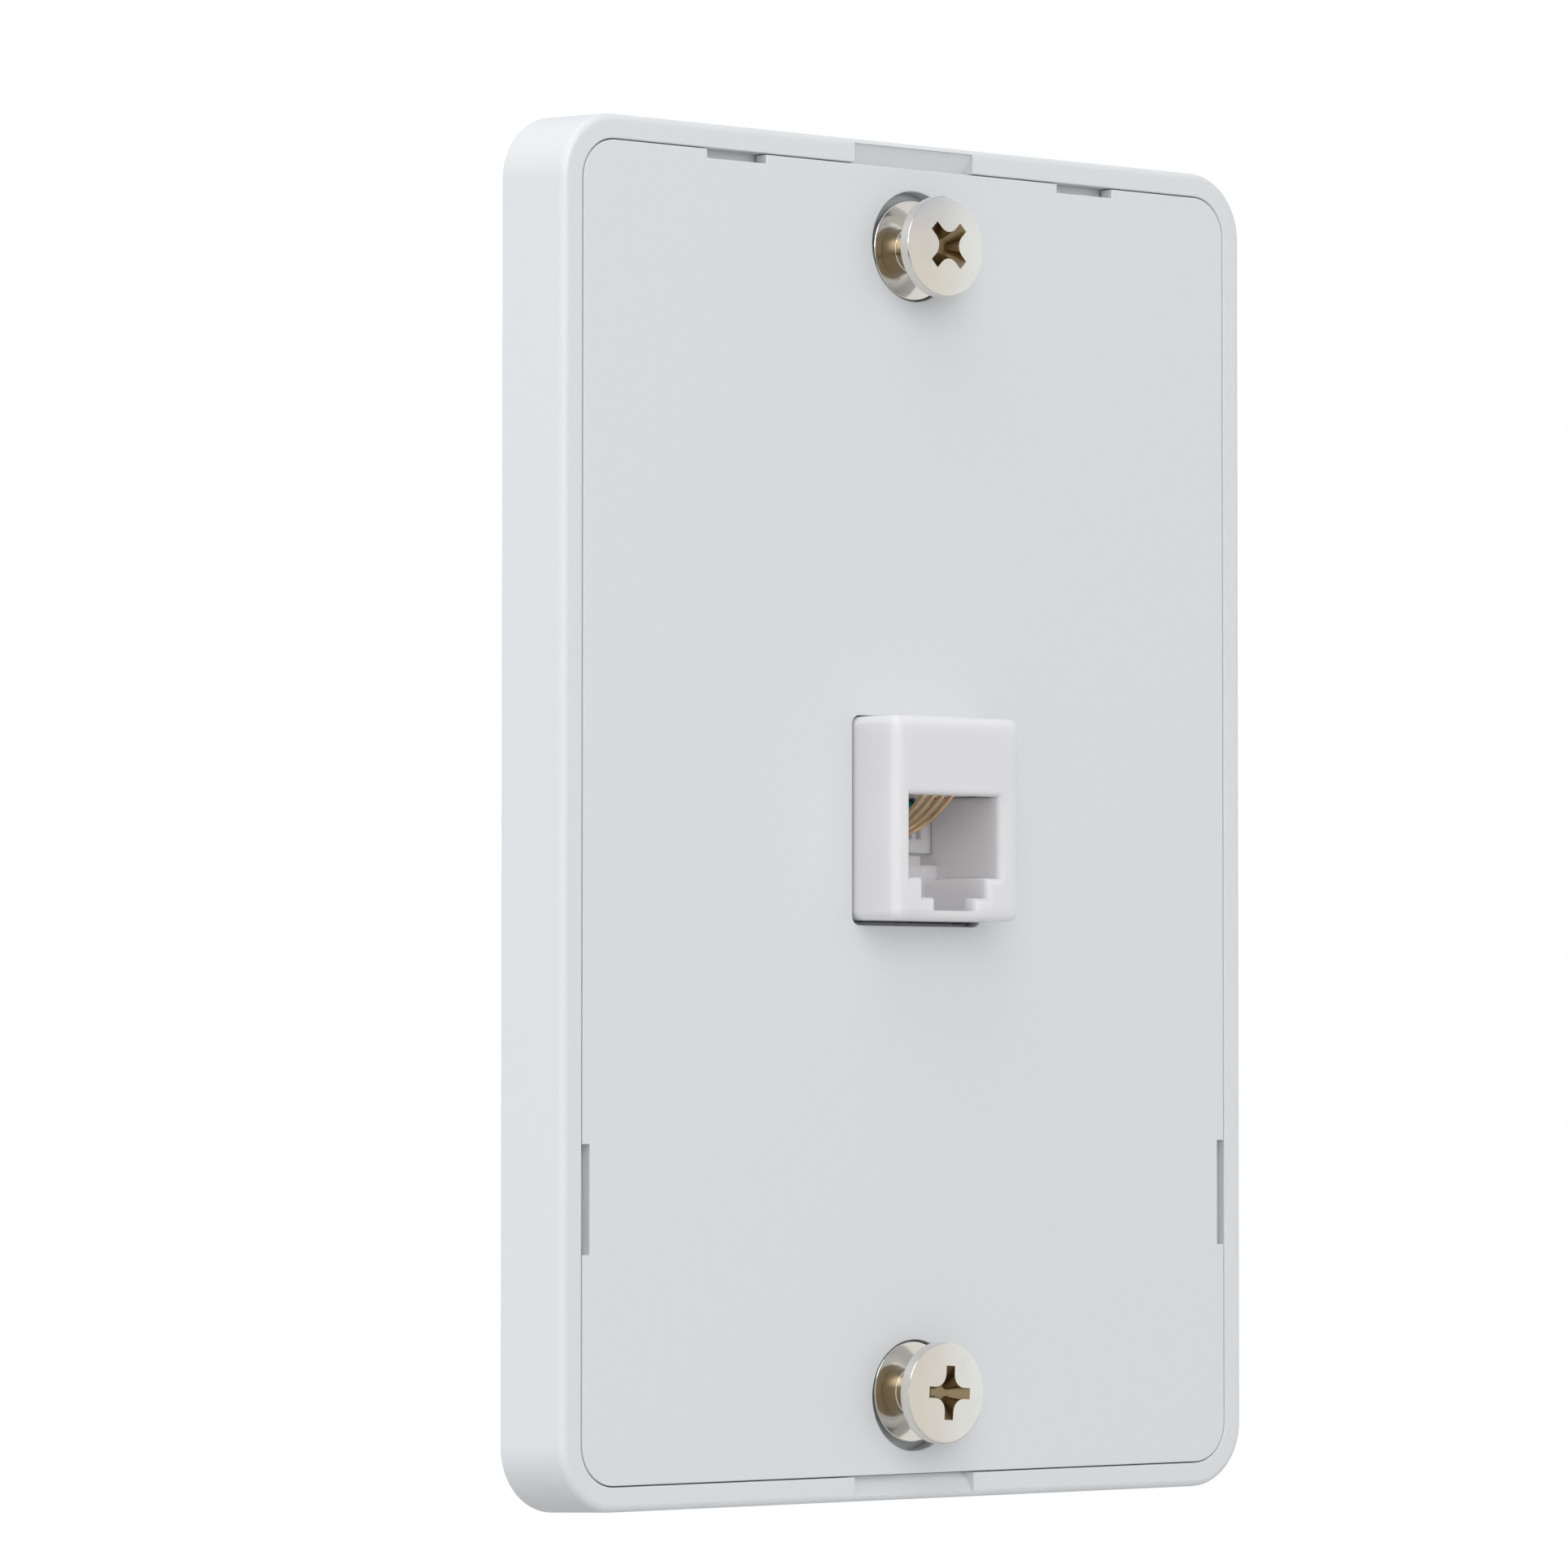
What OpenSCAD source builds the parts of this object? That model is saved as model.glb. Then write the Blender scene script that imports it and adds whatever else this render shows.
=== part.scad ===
// Wall telephone jack plate: a base frame that screws to a wall box, a snap-in
// front panel, two keyhole studs that carry a telephone, and a raised four-wire
// line jack with its leads run to four screw terminals at the back.
// Millimetres. +Z is up, the front faces -Y, and y = 0 is the wall.

/* [Plate] */
// Width of the front face
plate_w = 76.2; // [66:0.1:100]
// Height of the front face
plate_h = 114.3; // [111:0.1:140]
// Depth from the wall to the front face
plate_d = 7.6; // [7.2:0.1:12]
// How far the sides flare out from the front to the wall
side_draft = 0.3; // [0.1:0.05:0.6]
// Radius of the outer corners
corner_r = 5.5; // [4:0.1:8]
// Rounding of the front edge of the rim
rim_round = 0.6; // [0.3:0.1:0.9]
// Width of the rim around the front panel
rim_w = 2.04; // [1.6:0.02:2.6]
// Thickness of the side walls behind the floor
wall_t = 1.8; // [1.4:0.1:2.2]
// Thickness of the floor behind the front panel
floor_t = 2.0; // [1.6:0.1:2.4]
// Height of the pads that the front panel lies on
pad_h = 0.4; // [0.2:0.1:0.8]
// Thickness of the stiffening ribs at the back
rib_t = 1.2; // [0.8:0.1:2]

/* [Front panel] */
// Thickness of the front panel
panel_t = 1.3; // [1:0.1:1.8]
// Gap between the front panel and the rim
panel_gap = 0.15; // [0.1:0.05:0.25]
// Clearance around the line jack in the front panel
jack_hole_gap = 0.3; // [0.2:0.05:0.6]

/* [Snap catches] */
// Distance of each top catch from the middle
top_catch_x = 19.6; // [14:0.1:24]
// Length of the top catch slots
top_catch_w = 6.4; // [4:0.1:8]
// Distance of the side catches below the middle
side_catch_z = 31.7; // [26:0.1:34]
// Length of the side catch slots
side_catch_w = 9.0; // [6:0.1:10]
// How far the catch slots cut into the edge of the front panel
catch_slot = 0.7; // [0.5:0.05:0.9]
// Thickness of the spring arms
arm_t = 1.0; // [0.8:0.1:1.4]
// How far the hooks reach under the floor
hook_bite = 0.6; // [0.4:0.05:0.7]
// Height of the hooks
hook_h = 1.1; // [0.8:0.1:1.4]

/* [Pry notches] */
// Width of the screwdriver notches at the top and bottom
pry_w = 13.3; // [8:0.1:18]
// Edge left between a notch and the outside
pry_edge = 0.4; // [0.3:0.05:0.8]
// Depth of a notch at the seam
pry_depth = 1.2; // [0.8:0.1:1.5]

/* [Studs] */
// Distance of each stud from its end of the plate
stud_edge = 9.0; // [8.6:0.1:9.4]
// How far the stud heads stand out from the front panel
stud_rise = 4.05; // [3.6:0.05:6]
// Diameter of the stud heads
stud_head_d = 8.5; // [7:0.1:9]
// Thickness of the stud heads
stud_head_t = 0.9; // [0.7:0.1:1.2]
// Diameter of the spacer's neck
neck_d = 3.7; // [3.5:0.1:4.4]
// Diameter of the spacer's flange
flange_d = 8.5; // [7.8:0.1:9]
// Thickness of the spacer's flange
flange_t = 0.4; // [0.3:0.05:0.6]
// How far the flange lies below the face of the front panel
flange_sink = 0.25; // [0.1:0.05:0.4]
// Radius of the fillet between the flange and the neck
flange_fillet = 0.2; // [0.15:0.05:0.8]
// Thread diameter of the stud screws
stud_thread_d = 2.84; // [2.4:0.02:3]
// Thread pitch of the stud screws
stud_thread_pitch = 0.635; // [0.5:0.005:0.8]
// Diameter of the stud holes in the front panel
stud_hole_d = 9.4; // [9.2:0.1:10.4]
// Distance of each stud hole in the front panel from its end of the plate
stud_hole_edge = 8.7; // [8.6:0.05:9]
// Diameter of the boss under each stud
stud_boss_d = 7.4; // [6.6:0.1:7.8]
// Width across the flats of the stud nuts
stud_nut_af = 6.35; // [6:0.05:6.6]
// Thickness of the stud nuts
stud_nut_t = 2.0; // [1.6:0.1:2.2]

/* [Box screws] */
// Distance of each wall box screw hole from its end of the plate
box_edge = 15.48; // [15.4:0.02:16]
// Diameter of the holes for wall box screws
box_hole_d = 4.2; // [3.6:0.1:4.4]
// Room for the head of a wall box screw
box_head_d = 7.2; // [6.6:0.1:7.4]

/* [Line jack] */
// Width of the jack housing
jack_w = 13.8; // [12.6:0.1:16]
// Height of the jack housing
jack_h = 17.1; // [16.8:0.1:19]
// How far the jack housing stands out from the front panel
jack_rise = 5.3; // [5:0.1:8]
// How far the jack housing reaches behind the wall
jack_back = 3.0; // [2.8:0.1:4]
// Rounding of the housing's edges
jack_round = 0.8; // [0.4:0.1:0.8]
// Width of the plug opening
socket_w = 10.0; // [9.8:0.1:10.4]
// Top of the plug opening above the middle
socket_top = 1.9; // [1.7:0.1:2]
// Bottom of the plug opening below the middle
socket_bottom = 5.0; // [4.9:0.1:5.1]
// Width of the first latch step
key1_w = 7.2; // [6.6:0.1:7.6]
// Depth of the first latch step
key1_h = 1.7; // [1.5:0.1:1.7]
// Width of the second latch step
key2_w = 4.4; // [3.8:0.1:5]
// Depth of the second latch step
key2_h = 1.1; // [0.9:0.1:1.1]
// Thickness of the housing's front wall
jack_front_t = 1.5; // [1.2:0.1:1.5]
// Distance from the front of the housing to the plug stop
plug_depth = 8.0; // [7.8:0.1:8.4]
// How far the housing's flange stands out behind the floor
jack_flange = 1.7; // [1.2:0.1:2]
// Thickness of the housing's flange
jack_flange_t = 1.5; // [1.2:0.1:1.6]

/* [Contacts] */
// Diameter of the contact wires
wire_d = 0.5; // [0.4:0.02:0.54]
// Distance between the contact wires
wire_pitch = 1.02; // [1:0.01:1.06]
// Distance between the crimped splices
splice_pitch = 2.4; // [2.2:0.1:2.5]
// Diameter of the crimped splices
splice_d = 1.4; // [1.3:0.05:1.5]
// Width of the slots in the comb
comb_slot = 0.64; // [0.6:0.01:0.68]
// Thickness of the tray that the wires bend round
tray_t = 1.2; // [1:0.05:1.2]

/* [Terminals] */
// Distance of the terminals from the middle, sideways
term_x = 16.5; // [16:0.1:18]
// Distance of the terminals from the middle, upwards and downwards
term_z = 13.0; // [12.6:0.1:15]
// Diameter of the terminal posts
post_d = 8.0; // [7.4:0.1:9]
// How far the terminal posts stand out behind the wall
post_back = 0.8; // [0.6:0.1:1.2]
// Diameter of the brass inserts
insert_d = 5.2; // [4.8:0.1:5.6]
// Thread diameter of the terminal screws
term_thread_d = 3.5; // [3:0.1:3.6]
// Thread pitch of the terminal screws
term_thread_pitch = 0.794; // [0.6:0.002:0.9]
// Head diameter of the terminal screws
term_head_d = 6.6; // [6:0.1:7]
// Head height of the terminal screws
term_head_h = 1.8; // [1.6:0.1:2]
// Width of the square washers
washer_w = 7.2; // [6.8:0.1:7.6]
// Thickness of the square washers
washer_t = 0.8; // [0.6:0.1:1]
// Thickness of the fork lugs
lug_t = 0.6; // [0.5:0.05:0.8]
// Diameter of the insulated leads
lead_d = 1.2; // [1:0.05:1.3]

/* [Fits] */
// Radial clearance of a thread or shank in its hole
thread_gap = 0.08; // [0.05:0.01:0.09]
// Clearance of fixed pieces in their seats
seat_gap = 0.1; // [0.05:0.01:0.12]

/* [Hidden] */

$fn = 48;
hull_fn = 32;
cut = 1;
white = [0.86, 0.87, 0.88];
nickel = [0.80, 0.78, 0.74];
gold = [0.83, 0.66, 0.42];
brass = [0.80, 0.66, 0.36];

// Levels along Y, from the front to the back
y_front = -plate_d;
y_panel_back = y_front + panel_t;
y_floor_front = y_panel_back + pad_h;
y_floor_back = y_floor_front + floor_t;
y_jack = y_front - jack_rise;
y_flange_front = y_front + flange_sink;
y_flange_back = y_flange_front + flange_t;
y_head_front = y_front - stud_rise;
y_head_back = y_head_front + stud_head_t;

// Front pocket and rear hollow of the base
pocket_w = plate_w - 2 * rim_w;
pocket_h = plate_h - 2 * rim_w;
pocket_r = corner_r - rim_w;
hollow_w = plate_w - 2 * wall_t;
hollow_h = plate_h - 2 * wall_t;
hollow_r = corner_r - wall_t;
panel_w = pocket_w - 2 * panel_gap;
panel_h = pocket_h - 2 * panel_gap;
slot_x = panel_w / 2 - catch_slot;
slot_z = panel_h / 2 - catch_slot;
arm_play = 0.1;
hook_play = 0.1;
window_side = 0.4;
window_back = 2.2;

// Studs
stud_z = plate_h / 2 - stud_edge;
stud_hole_z = plate_h / 2 - stud_hole_edge;
box_z = plate_h / 2 - box_edge;
neck_end_gap = 1.2;
nut_recess = 0.4;
nut_wall = 0.9;
y_nut_front = y_floor_back + nut_recess;
y_nut_back = y_nut_front + stud_nut_t;
stud_tip = y_nut_back + 0.3;
shoulder_d = 3.0;

// Jack housing, its socket and its carrier
jack_bottom = -jack_h / 2 - 0.05;
jack_top = jack_h / 2 - 0.05;
jack_hole_r = 0.8;
window_gap = 0.15;
channel_z = -socket_bottom - key1_h - key2_h;
y_jack_inside = y_jack + jack_front_t;
y_stop = y_jack + plug_depth;
stop_top = -3.75;
tongue_top = -2.95;
tongue_step = 0.3;
stop_back = -3.0;
tray_z = 2.0;
chamber_w = 10.8;
chamber_top = jack_top - 1.1;
snap_arm_w = 8;
snap_arm_t = 1.3;
snap_lip = 0.8;
snap_lip_h = 1.2;

nose_r = tray_t / 2;
nose_y = y_jack_inside + 1.4;
nose_z = tray_z + nose_r;
bend_r = nose_r + wire_d / 2 + 0.02;
bend_exit = 50;
tip_y = -2.9;
comb_front = y_stop + 0.8;
comb_t = 1.0;
comb_bottom = -2.85;
comb_slot_bottom = -1.65;
comb_top = 0.75;
comb_side = 4.0;
splice_z = tray_z + tray_t + splice_d / 2 + 0.05;
splice_front = -3.0;
splice_back = -0.4;
clamp_y = 1.6;
clamp_t = 1.2;
clamp_top = 7.1;

// Terminals
y_lug = post_back;
y_washer = y_lug + lug_t;
y_term_head = y_washer + washer_t;
insert_bottom = y_floor_back + 0.3;
term_tip = insert_bottom + 0.3;
lug_ring_d = 6.8;
lug_slot = term_thread_d + 0.6;
barrel_d = 2.0;
barrel_start = 4.3;
barrel_end = 8.0;
barrel_y = 1.5;

// Circuits from left to right: name, colour, side of the terminal, height of the terminal
circuits = ["black", "red", "green", "yellow"];
lead_colours = [[0.05, 0.05, 0.06], [0.70, 0.08, 0.07], [0.02, 0.36, 0.34], [0.88, 0.72, 0.10]];
term_signs = [[-1, 1], [-1, -1], [1, -1], [1, 1]];

// Routes of the leads between the splices and the fork lugs
route_black = [
    [-3.7, 3.8, 4.9], [-3.9, 4.3, 6.6], [-4.2, 3.9, 9.1], [-4.9, 2.8, 11.5], [-6.3, 1.8, 12.8]
];
route_red = [
    [-1.4, 3.9, 3.2], [-2.2, 4.4, 1], [-3.4, 4.4, -2.5], [-4.6, 4.2, -6.5],
    [-5.4, 3.5, -10.2], [-6.2, 2, -12.4]
];
route_green = [
    [1.5, 3.9, 3.3], [2.3, 4, 1.8], [3.1, 2.6, 1.2], [3.5, 0.8, 1.2], [3.7, -1.3, 1.3],
    [3.7, -2.2, 0.7], [3.6, -2.2, -0.3], [3.7, -1.2, -1.1], [3.9, 1, -1.5],
    [4.2, 3.2, -2.8], [4.8, 4.1, -6], [5.3, 3.6, -9.8], [6.1, 2.1, -12.3]
];
route_yellow = [
    [3.7, 3.8, 4.9], [3.9, 4.3, 6.6], [4.2, 3.9, 9.1], [4.9, 2.8, 11.5], [6.3, 1.8, 12.8]
];
routes = [route_black, route_red, route_green, route_yellow];

// ---------------------------------------------------------------- shapes

// Draws a flat outline in X and Z and thickens it from y0 to y1
module along_y(y0, y1) {
    translate([0, y1, 0]) rotate([90, 0, 0]) linear_extrude(y1 - y0) children();
}

// Draws a flat outline in Y and Z and thickens it from x0 to x1
module along_x(x0, x1) {
    translate([x0, 0, 0]) rotate([90, 0, 90]) linear_extrude(x1 - x0) children();
}

// Round bar along Y
module peg(x, z, y0, y1, d) {
    translate([x, y1, z]) rotate([90, 0, 0]) cylinder(h = y1 - y0, d = d);
}

// Block between two opposite corners
module block(low, high) {
    translate(low) cube(high - low);
}

module rounded_rect(w, h, r) {
    square([w - 2 * r, h], center = true);
    square([w, h - 2 * r], center = true);
    for (x = [-1, 1], z = [-1, 1])
        translate([x * (w / 2 - r), z * (h / 2 - r)]) circle(r);
}

// Rectangle whose two corners at the low first coordinate are round
module round_nosed(y0, y1, a0, a1, r) {
    translate([y0 + r, a0]) square([y1 - y0 - r, a1 - a0]);
    translate([y0, a0 + r]) square([2 * r, a1 - a0 - 2 * r]);
    for (a = [a0 + r, a1 - r]) translate([y0 + r, a]) circle(r);
}

// ------------------------------------------------------------ base frame

// One corner post of the outer shape, from the wall up to the rounded front edge
module corner_post() {
    front_edge = [
        for (a = [0:30:90])
            [corner_r - rim_round + rim_round * cos(a), plate_d - rim_round + rim_round * sin(a)]
    ];
    rotate([90, 0, 0]) rotate_extrude($fn = hull_fn)
        polygon(concat([[0, 0], [corner_r + side_draft, 0]], front_edge, [[0, plate_d]]));
}

module base_outer() {
    hull()
        for (x = [-1, 1], z = [-1, 1])
            translate([x * (plate_w / 2 - corner_r), 0, z * (plate_h / 2 - corner_r)])
                corner_post();
}

// Ramp cut in the rim for a screwdriver, for the top edge
module pry_cut() {
    seam = plate_h / 2 - rim_w;
    edge = plate_h / 2 - pry_edge;
    along_x(-pry_w / 2, pry_w / 2)
        polygon([
            [y_front - cut, edge], [y_front + 0.25, edge], [y_front + pry_depth, seam],
            [y_front + pry_depth, seam - cut], [y_front - cut, seam - cut]
        ]);
}

// Windows in the floor that let the spring arms through
module catch_windows() {
    for (x = [-1, 1]) {
        translate([x * top_catch_x, 0, 0])
            block([-top_catch_w / 2 - window_side, y_floor_front - cut, slot_z - window_back],
                  [top_catch_w / 2 + window_side, y_floor_back + cut, slot_z]);
        mirror([x < 0 ? 1 : 0, 0, 0])
            block([slot_x - window_back, y_floor_front - cut,
                   -side_catch_z - side_catch_w / 2 - window_side],
                  [slot_x, y_floor_back + cut,
                   -side_catch_z + side_catch_w / 2 + window_side]);
    }
}

// Pads that the front panel lies on
module panel_pads() {
    for (x = [-1, 1], z = [-1, 0, 1])
        translate([x * (pocket_w / 2 - 9), 0, z * (pocket_h / 2 - 9)])
            block([-1, y_panel_back, -5], [1, y_floor_front + 0.1, 5]);
}

module stiffening_ribs() {
    rib_x = hollow_w / 2 - 9.5;
    rib_z = term_z + post_d / 2 + 11;
    for (x = [-1, 1])
        translate([x * rib_x, 0, 0])
            block([-rib_t / 2, y_floor_back - 0.1, -hollow_h / 2 - 0.5],
                  [rib_t / 2, -1, hollow_h / 2 + 0.5]);
    for (z = [-1, 1])
        translate([0, 0, z * rib_z])
            block([-rib_x, y_floor_back - 0.1, -rib_t / 2], [rib_x, -1, rib_t / 2]);
}

// Sprung arms behind the floor that hold the jack's flange
module jack_snap_arms() {
    arm_x = jack_w / 2 + jack_flange + window_gap;
    lip_y = y_floor_back + jack_flange_t + 0.05;
    for (x = [0, 1])
        mirror([x, 0, 0])
            along_z(-snap_arm_w / 2, snap_arm_w / 2)
                polygon([
                    [arm_x, y_floor_back - 0.1], [arm_x + snap_arm_t, y_floor_back - 0.1],
                    [arm_x + snap_arm_t, lip_y + snap_lip_h], [arm_x, lip_y + snap_lip_h],
                    [arm_x - snap_lip, lip_y + 0.3], [arm_x - snap_lip, lip_y], [arm_x, lip_y]
                ]);
}

// Draws a flat outline in X and Y and thickens it from z0 to z1
module along_z(z0, z1) {
    translate([0, 0, z0]) linear_extrude(z1 - z0) children();
}

module base_frame() {
    color(white) difference() {
        union() {
            difference() {
                base_outer();
                along_y(y_front - cut, y_floor_front) rounded_rect(pocket_w, pocket_h, pocket_r);
                along_y(y_floor_back, cut) rounded_rect(hollow_w, hollow_h, hollow_r);
                pry_cut();
                mirror([0, 0, 1]) pry_cut();
                catch_windows();
            }
            panel_pads();
            stiffening_ribs();
            jack_snap_arms();
            for (z = [-stud_z, stud_z]) {
                peg(0, z, y_flange_back, y_floor_front + 0.1, stud_boss_d);
                translate([0, y_nut_back, z]) rotate([90, 0, 0])
                    cylinder(h = y_nut_back - y_floor_back + 0.1,
                             d = (stud_nut_af + 2 * nut_wall) / cos(30), $fn = 6);
            }
            for (s = term_signs)
                peg(s[0] * term_x, s[1] * term_z, y_floor_back - 0.1, post_back, post_d);
        }
        // Opening for the line jack
        along_y(y_floor_front - cut, y_floor_back + cut)
            translate([0, (jack_top + jack_bottom) / 2])
                square([jack_w + 2 * window_gap, jack_h + 2 * window_gap], center = true);
        // Stud screws and their nuts
        for (z = [-stud_z, stud_z]) {
            peg(0, z, y_front - cut, y_nut_front + 0.5, stud_thread_d + 0.6);
            translate([0, y_nut_back + cut, z]) rotate([90, 0, 0])
                cylinder(h = stud_nut_t + cut, d = (stud_nut_af + 2 * seat_gap) / cos(30), $fn = 6);
        }
        // Wall box screws, with room for their heads beside the stud bosses
        for (z = [-box_z, box_z]) {
            peg(0, z, y_floor_front - cut, y_floor_back + cut, box_hole_d);
            peg(0, z, y_front - cut, y_floor_front, box_head_d);
        }
        // Threaded inserts of the terminals
        for (s = term_signs)
            peg(s[0] * term_x, s[1] * term_z, insert_bottom, post_back + cut,
                insert_d + 2 * seat_gap);
    }
}

// ----------------------------------------------------------- front panel

// Spring arm with its hook, reaching back from the panel; the hook points to +Z
module spring_arm(length, slot) {
    hook_y = y_floor_back + hook_play;
    along_x(-length / 2, length / 2)
        polygon([
            [y_panel_back, slot - arm_play - arm_t], [y_panel_back, slot - arm_play],
            [hook_y, slot - arm_play], [hook_y, slot + hook_bite],
            [hook_y + 0.3, slot + hook_bite], [hook_y + hook_h, slot - arm_play - 0.2],
            [hook_y + hook_h, slot - arm_play - arm_t]
        ]);
}

module front_panel() {
    color(white) difference() {
        along_y(y_front, y_panel_back)
            rounded_rect(panel_w, panel_h, pocket_r - panel_gap);
        for (z = [-1, 1])
            peg(0, z * stud_hole_z, y_front - cut, y_panel_back + cut, stud_hole_d);
        along_y(y_front - cut, y_panel_back + cut)
            translate([0, (jack_top + jack_bottom) / 2])
                rounded_rect(jack_w + 2 * jack_hole_gap, jack_h + 2 * jack_hole_gap, jack_hole_r);
        for (x = [-1, 1]) {
            translate([x * top_catch_x, 0, 0])
                block([-top_catch_w / 2, y_front - cut, slot_z],
                      [top_catch_w / 2, y_panel_back + cut, slot_z + catch_slot + cut]);
            mirror([x < 0 ? 1 : 0, 0, 0])
                block([slot_x, y_front - cut, -side_catch_z - side_catch_w / 2],
                      [slot_x + catch_slot + cut, y_panel_back + cut,
                       -side_catch_z + side_catch_w / 2]);
        }
    }
}

module panel_catches() {
    color(white)
        for (x = [-1, 1]) {
            translate([x * top_catch_x, 0, 0]) spring_arm(top_catch_w - 0.8, slot_z);
            translate([0, 0, -side_catch_z]) rotate([0, x * 90, 0])
                spring_arm(side_catch_w - 0.8, slot_x);
        }
}

// ---------------------------------------------------------- jack housing

module jack_block() {
    intersection() {
        along_y(y_jack, jack_back)
            translate([0, (jack_top + jack_bottom) / 2])
                rounded_rect(jack_w, jack_h, jack_round);
        along_x(-jack_w, jack_w)
            round_nosed(y_jack, jack_back, jack_bottom, jack_top, jack_round);
        along_z(-jack_h, jack_h)
            mirror([1, -1, 0])
                round_nosed(y_jack, jack_back, -jack_w / 2, jack_w / 2, jack_round);
    }
}

module jack_housing() {
    color(white) difference() {
        union() {
            jack_block();
            along_y(y_floor_back, y_floor_back + jack_flange_t)
                translate([0, (jack_top + jack_bottom) / 2])
                    rounded_rect(jack_w + 2 * jack_flange, jack_h + 2 * jack_flange, 1);
        }
        // Plug opening with the two steps for the plug's latch
        block([-socket_w / 2, y_jack - cut, -socket_bottom], [socket_w / 2, y_stop, tray_z]);
        block([-key1_w / 2, y_jack - cut, -socket_bottom - key1_h],
              [key1_w / 2, y_stop, -socket_bottom + cut]);
        block([-key2_w / 2, y_jack - cut, channel_z], [key2_w / 2, y_stop, 0]);
        block([-key1_w / 2, y_jack_inside, channel_z], [key1_w / 2, y_stop + tongue_step, 0]);
        // Space behind the plug stop
        block([-socket_w / 2, y_stop - cut, stop_top], [socket_w / 2, jack_back + cut, tray_z]);
        block([-socket_w / 2, stop_back, channel_z], [socket_w / 2, jack_back + cut, tray_z]);
        // Chamber of the contact carrier, open at the back
        block([-chamber_w / 2, y_jack_inside, tray_z], [chamber_w / 2, jack_back + cut, chamber_top]);
    }
    // Lip over the plug opening, and the tongue between the plug stops
    color(white) {
        block([-socket_w / 2 - 0.1, y_jack + jack_round, socket_top],
              [socket_w / 2 + 0.1, y_jack_inside, tray_z + 0.1]);
        block([-key1_w / 2, y_stop + tongue_step, channel_z - 0.1],
              [key1_w / 2, stop_back, tongue_top]);
    }
}

// ------------------------------------------------------- contact carrier

module contact_carrier() {
    tray_back = clamp_y + clamp_t;
    color(white) difference() {
        union() {
            // Tray with the round nose that the wires bend over
            along_x(-chamber_w / 2 + seat_gap, chamber_w / 2 - seat_gap) {
                translate([nose_y, tray_z]) square([tray_back - nose_y, tray_t]);
                translate([nose_y, nose_z]) circle(nose_r);
            }
            // Ribs that keep the wires apart on the tray
            for (i = [-2:2])
                block([i * wire_pitch - 0.17, nose_y, tray_z + tray_t - 0.1],
                      [i * wire_pitch + 0.17, nose_y + 2.4, tray_z + tray_t + wire_d]);
            // Comb that guides the free ends of the wires
            block([-socket_w / 2 + seat_gap, comb_front, comb_bottom],
                  [socket_w / 2 - seat_gap, comb_front + comb_t, comb_top]);
            for (x = [0, 1])
                mirror([x, 0, 0])
                    block([comb_side, comb_front, comb_bottom],
                          [socket_w / 2 - seat_gap, comb_front + comb_t, tray_z + 0.1]);
            // Wall that holds the leads
            block([-chamber_w / 2 + seat_gap, clamp_y, tray_z],
                  [chamber_w / 2 - seat_gap, tray_back, clamp_top]);
        }
        for (i = [-3.5:1:3.5])
            block([i * wire_pitch - comb_slot / 2, comb_front - cut, comb_slot_bottom],
                  [i * wire_pitch + comb_slot / 2, comb_front + comb_t + cut, comb_top + cut]);
        for (i = [0:3])
            along_y(clamp_y - cut, tray_back + cut)
                translate([splice_x(i), 0]) {
                    translate([0, splice_z]) circle(d = lead_d + 0.3);
                    translate([-lead_d / 2 - 0.05, splice_z])
                        square([lead_d + 0.1, clamp_top]);
                }
    }
}

// ------------------------------------------------------ wires and leads

function wire_x(i) = (i - 1.5) * wire_pitch;
function splice_x(i) = (i - 1.5) * splice_pitch;
function unit(v) = v / norm(v);

// Direction of a path at point i
function tangent(p, i) =
    unit(p[min(i + 1, len(p) - 1)] - p[max(i - 1, 0)]);

// Side directions that turn as little as possible from ring to ring
function carried(n, t) = unit(n - (n * t) * t);
function normals(p, i = 0, n = [0, 0, 1]) =
    i >= len(p) ? [] :
    let (t = tangent(p, i),
         m = carried(abs(n * t) > 0.98 ? [1, 0.01, 0] : n, t))
    concat([m], normals(p, i + 1, m));

// Tube of a given diameter along a path
module tube(path, d, sides = 8) {
    n = normals(path);
    rings = [
        for (i = [0:len(path) - 1])
            let (t = tangent(path, i), u = n[i], v = cross(t, u))
            for (k = [0:sides - 1])
                path[i] + d / 2 * (cos(360 * k / sides) * u + sin(360 * k / sides) * v)
    ];
    last = (len(path) - 1) * sides;
    walls = [
        for (i = [0:len(path) - 2], k = [0:sides - 1])
            let (a = i * sides + k, b = i * sides + (k + 1) % sides)
            each [[a, b + sides, b], [a, a + sides, b + sides]]
    ];
    start_cap = [for (k = [1:sides - 2]) [0, k, k + 1]];
    end_cap = [for (k = [1:sides - 2]) [last, last + k + 1, last + k]];
    polyhedron(rings, concat(walls, start_cap, end_cap));
}

// Smooth curve through a list of points, with a number of steps in each span
function spline_point(a, b, c, d, t) =
    0.5 * ((2 * b) + (c - a) * t + (2 * a - 5 * b + 4 * c - d) * t * t
           + (3 * b - a - 3 * c + d) * t * t * t);
function spline(p, steps) =
    concat(
        [for (i = [0:len(p) - 2], s = [0:steps - 1])
            spline_point(p[max(i - 1, 0)], p[i], p[i + 1], p[min(i + 2, len(p) - 1)], s / steps)],
        [p[len(p) - 1]]);

// Bend of a contact wire round the nose of the tray, between two angles
function nose_bend(x, from, to, step) = [
    for (a = [from:step:to]) [x, nose_y + bend_r * cos(a), nose_z + bend_r * sin(a)]
];

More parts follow.
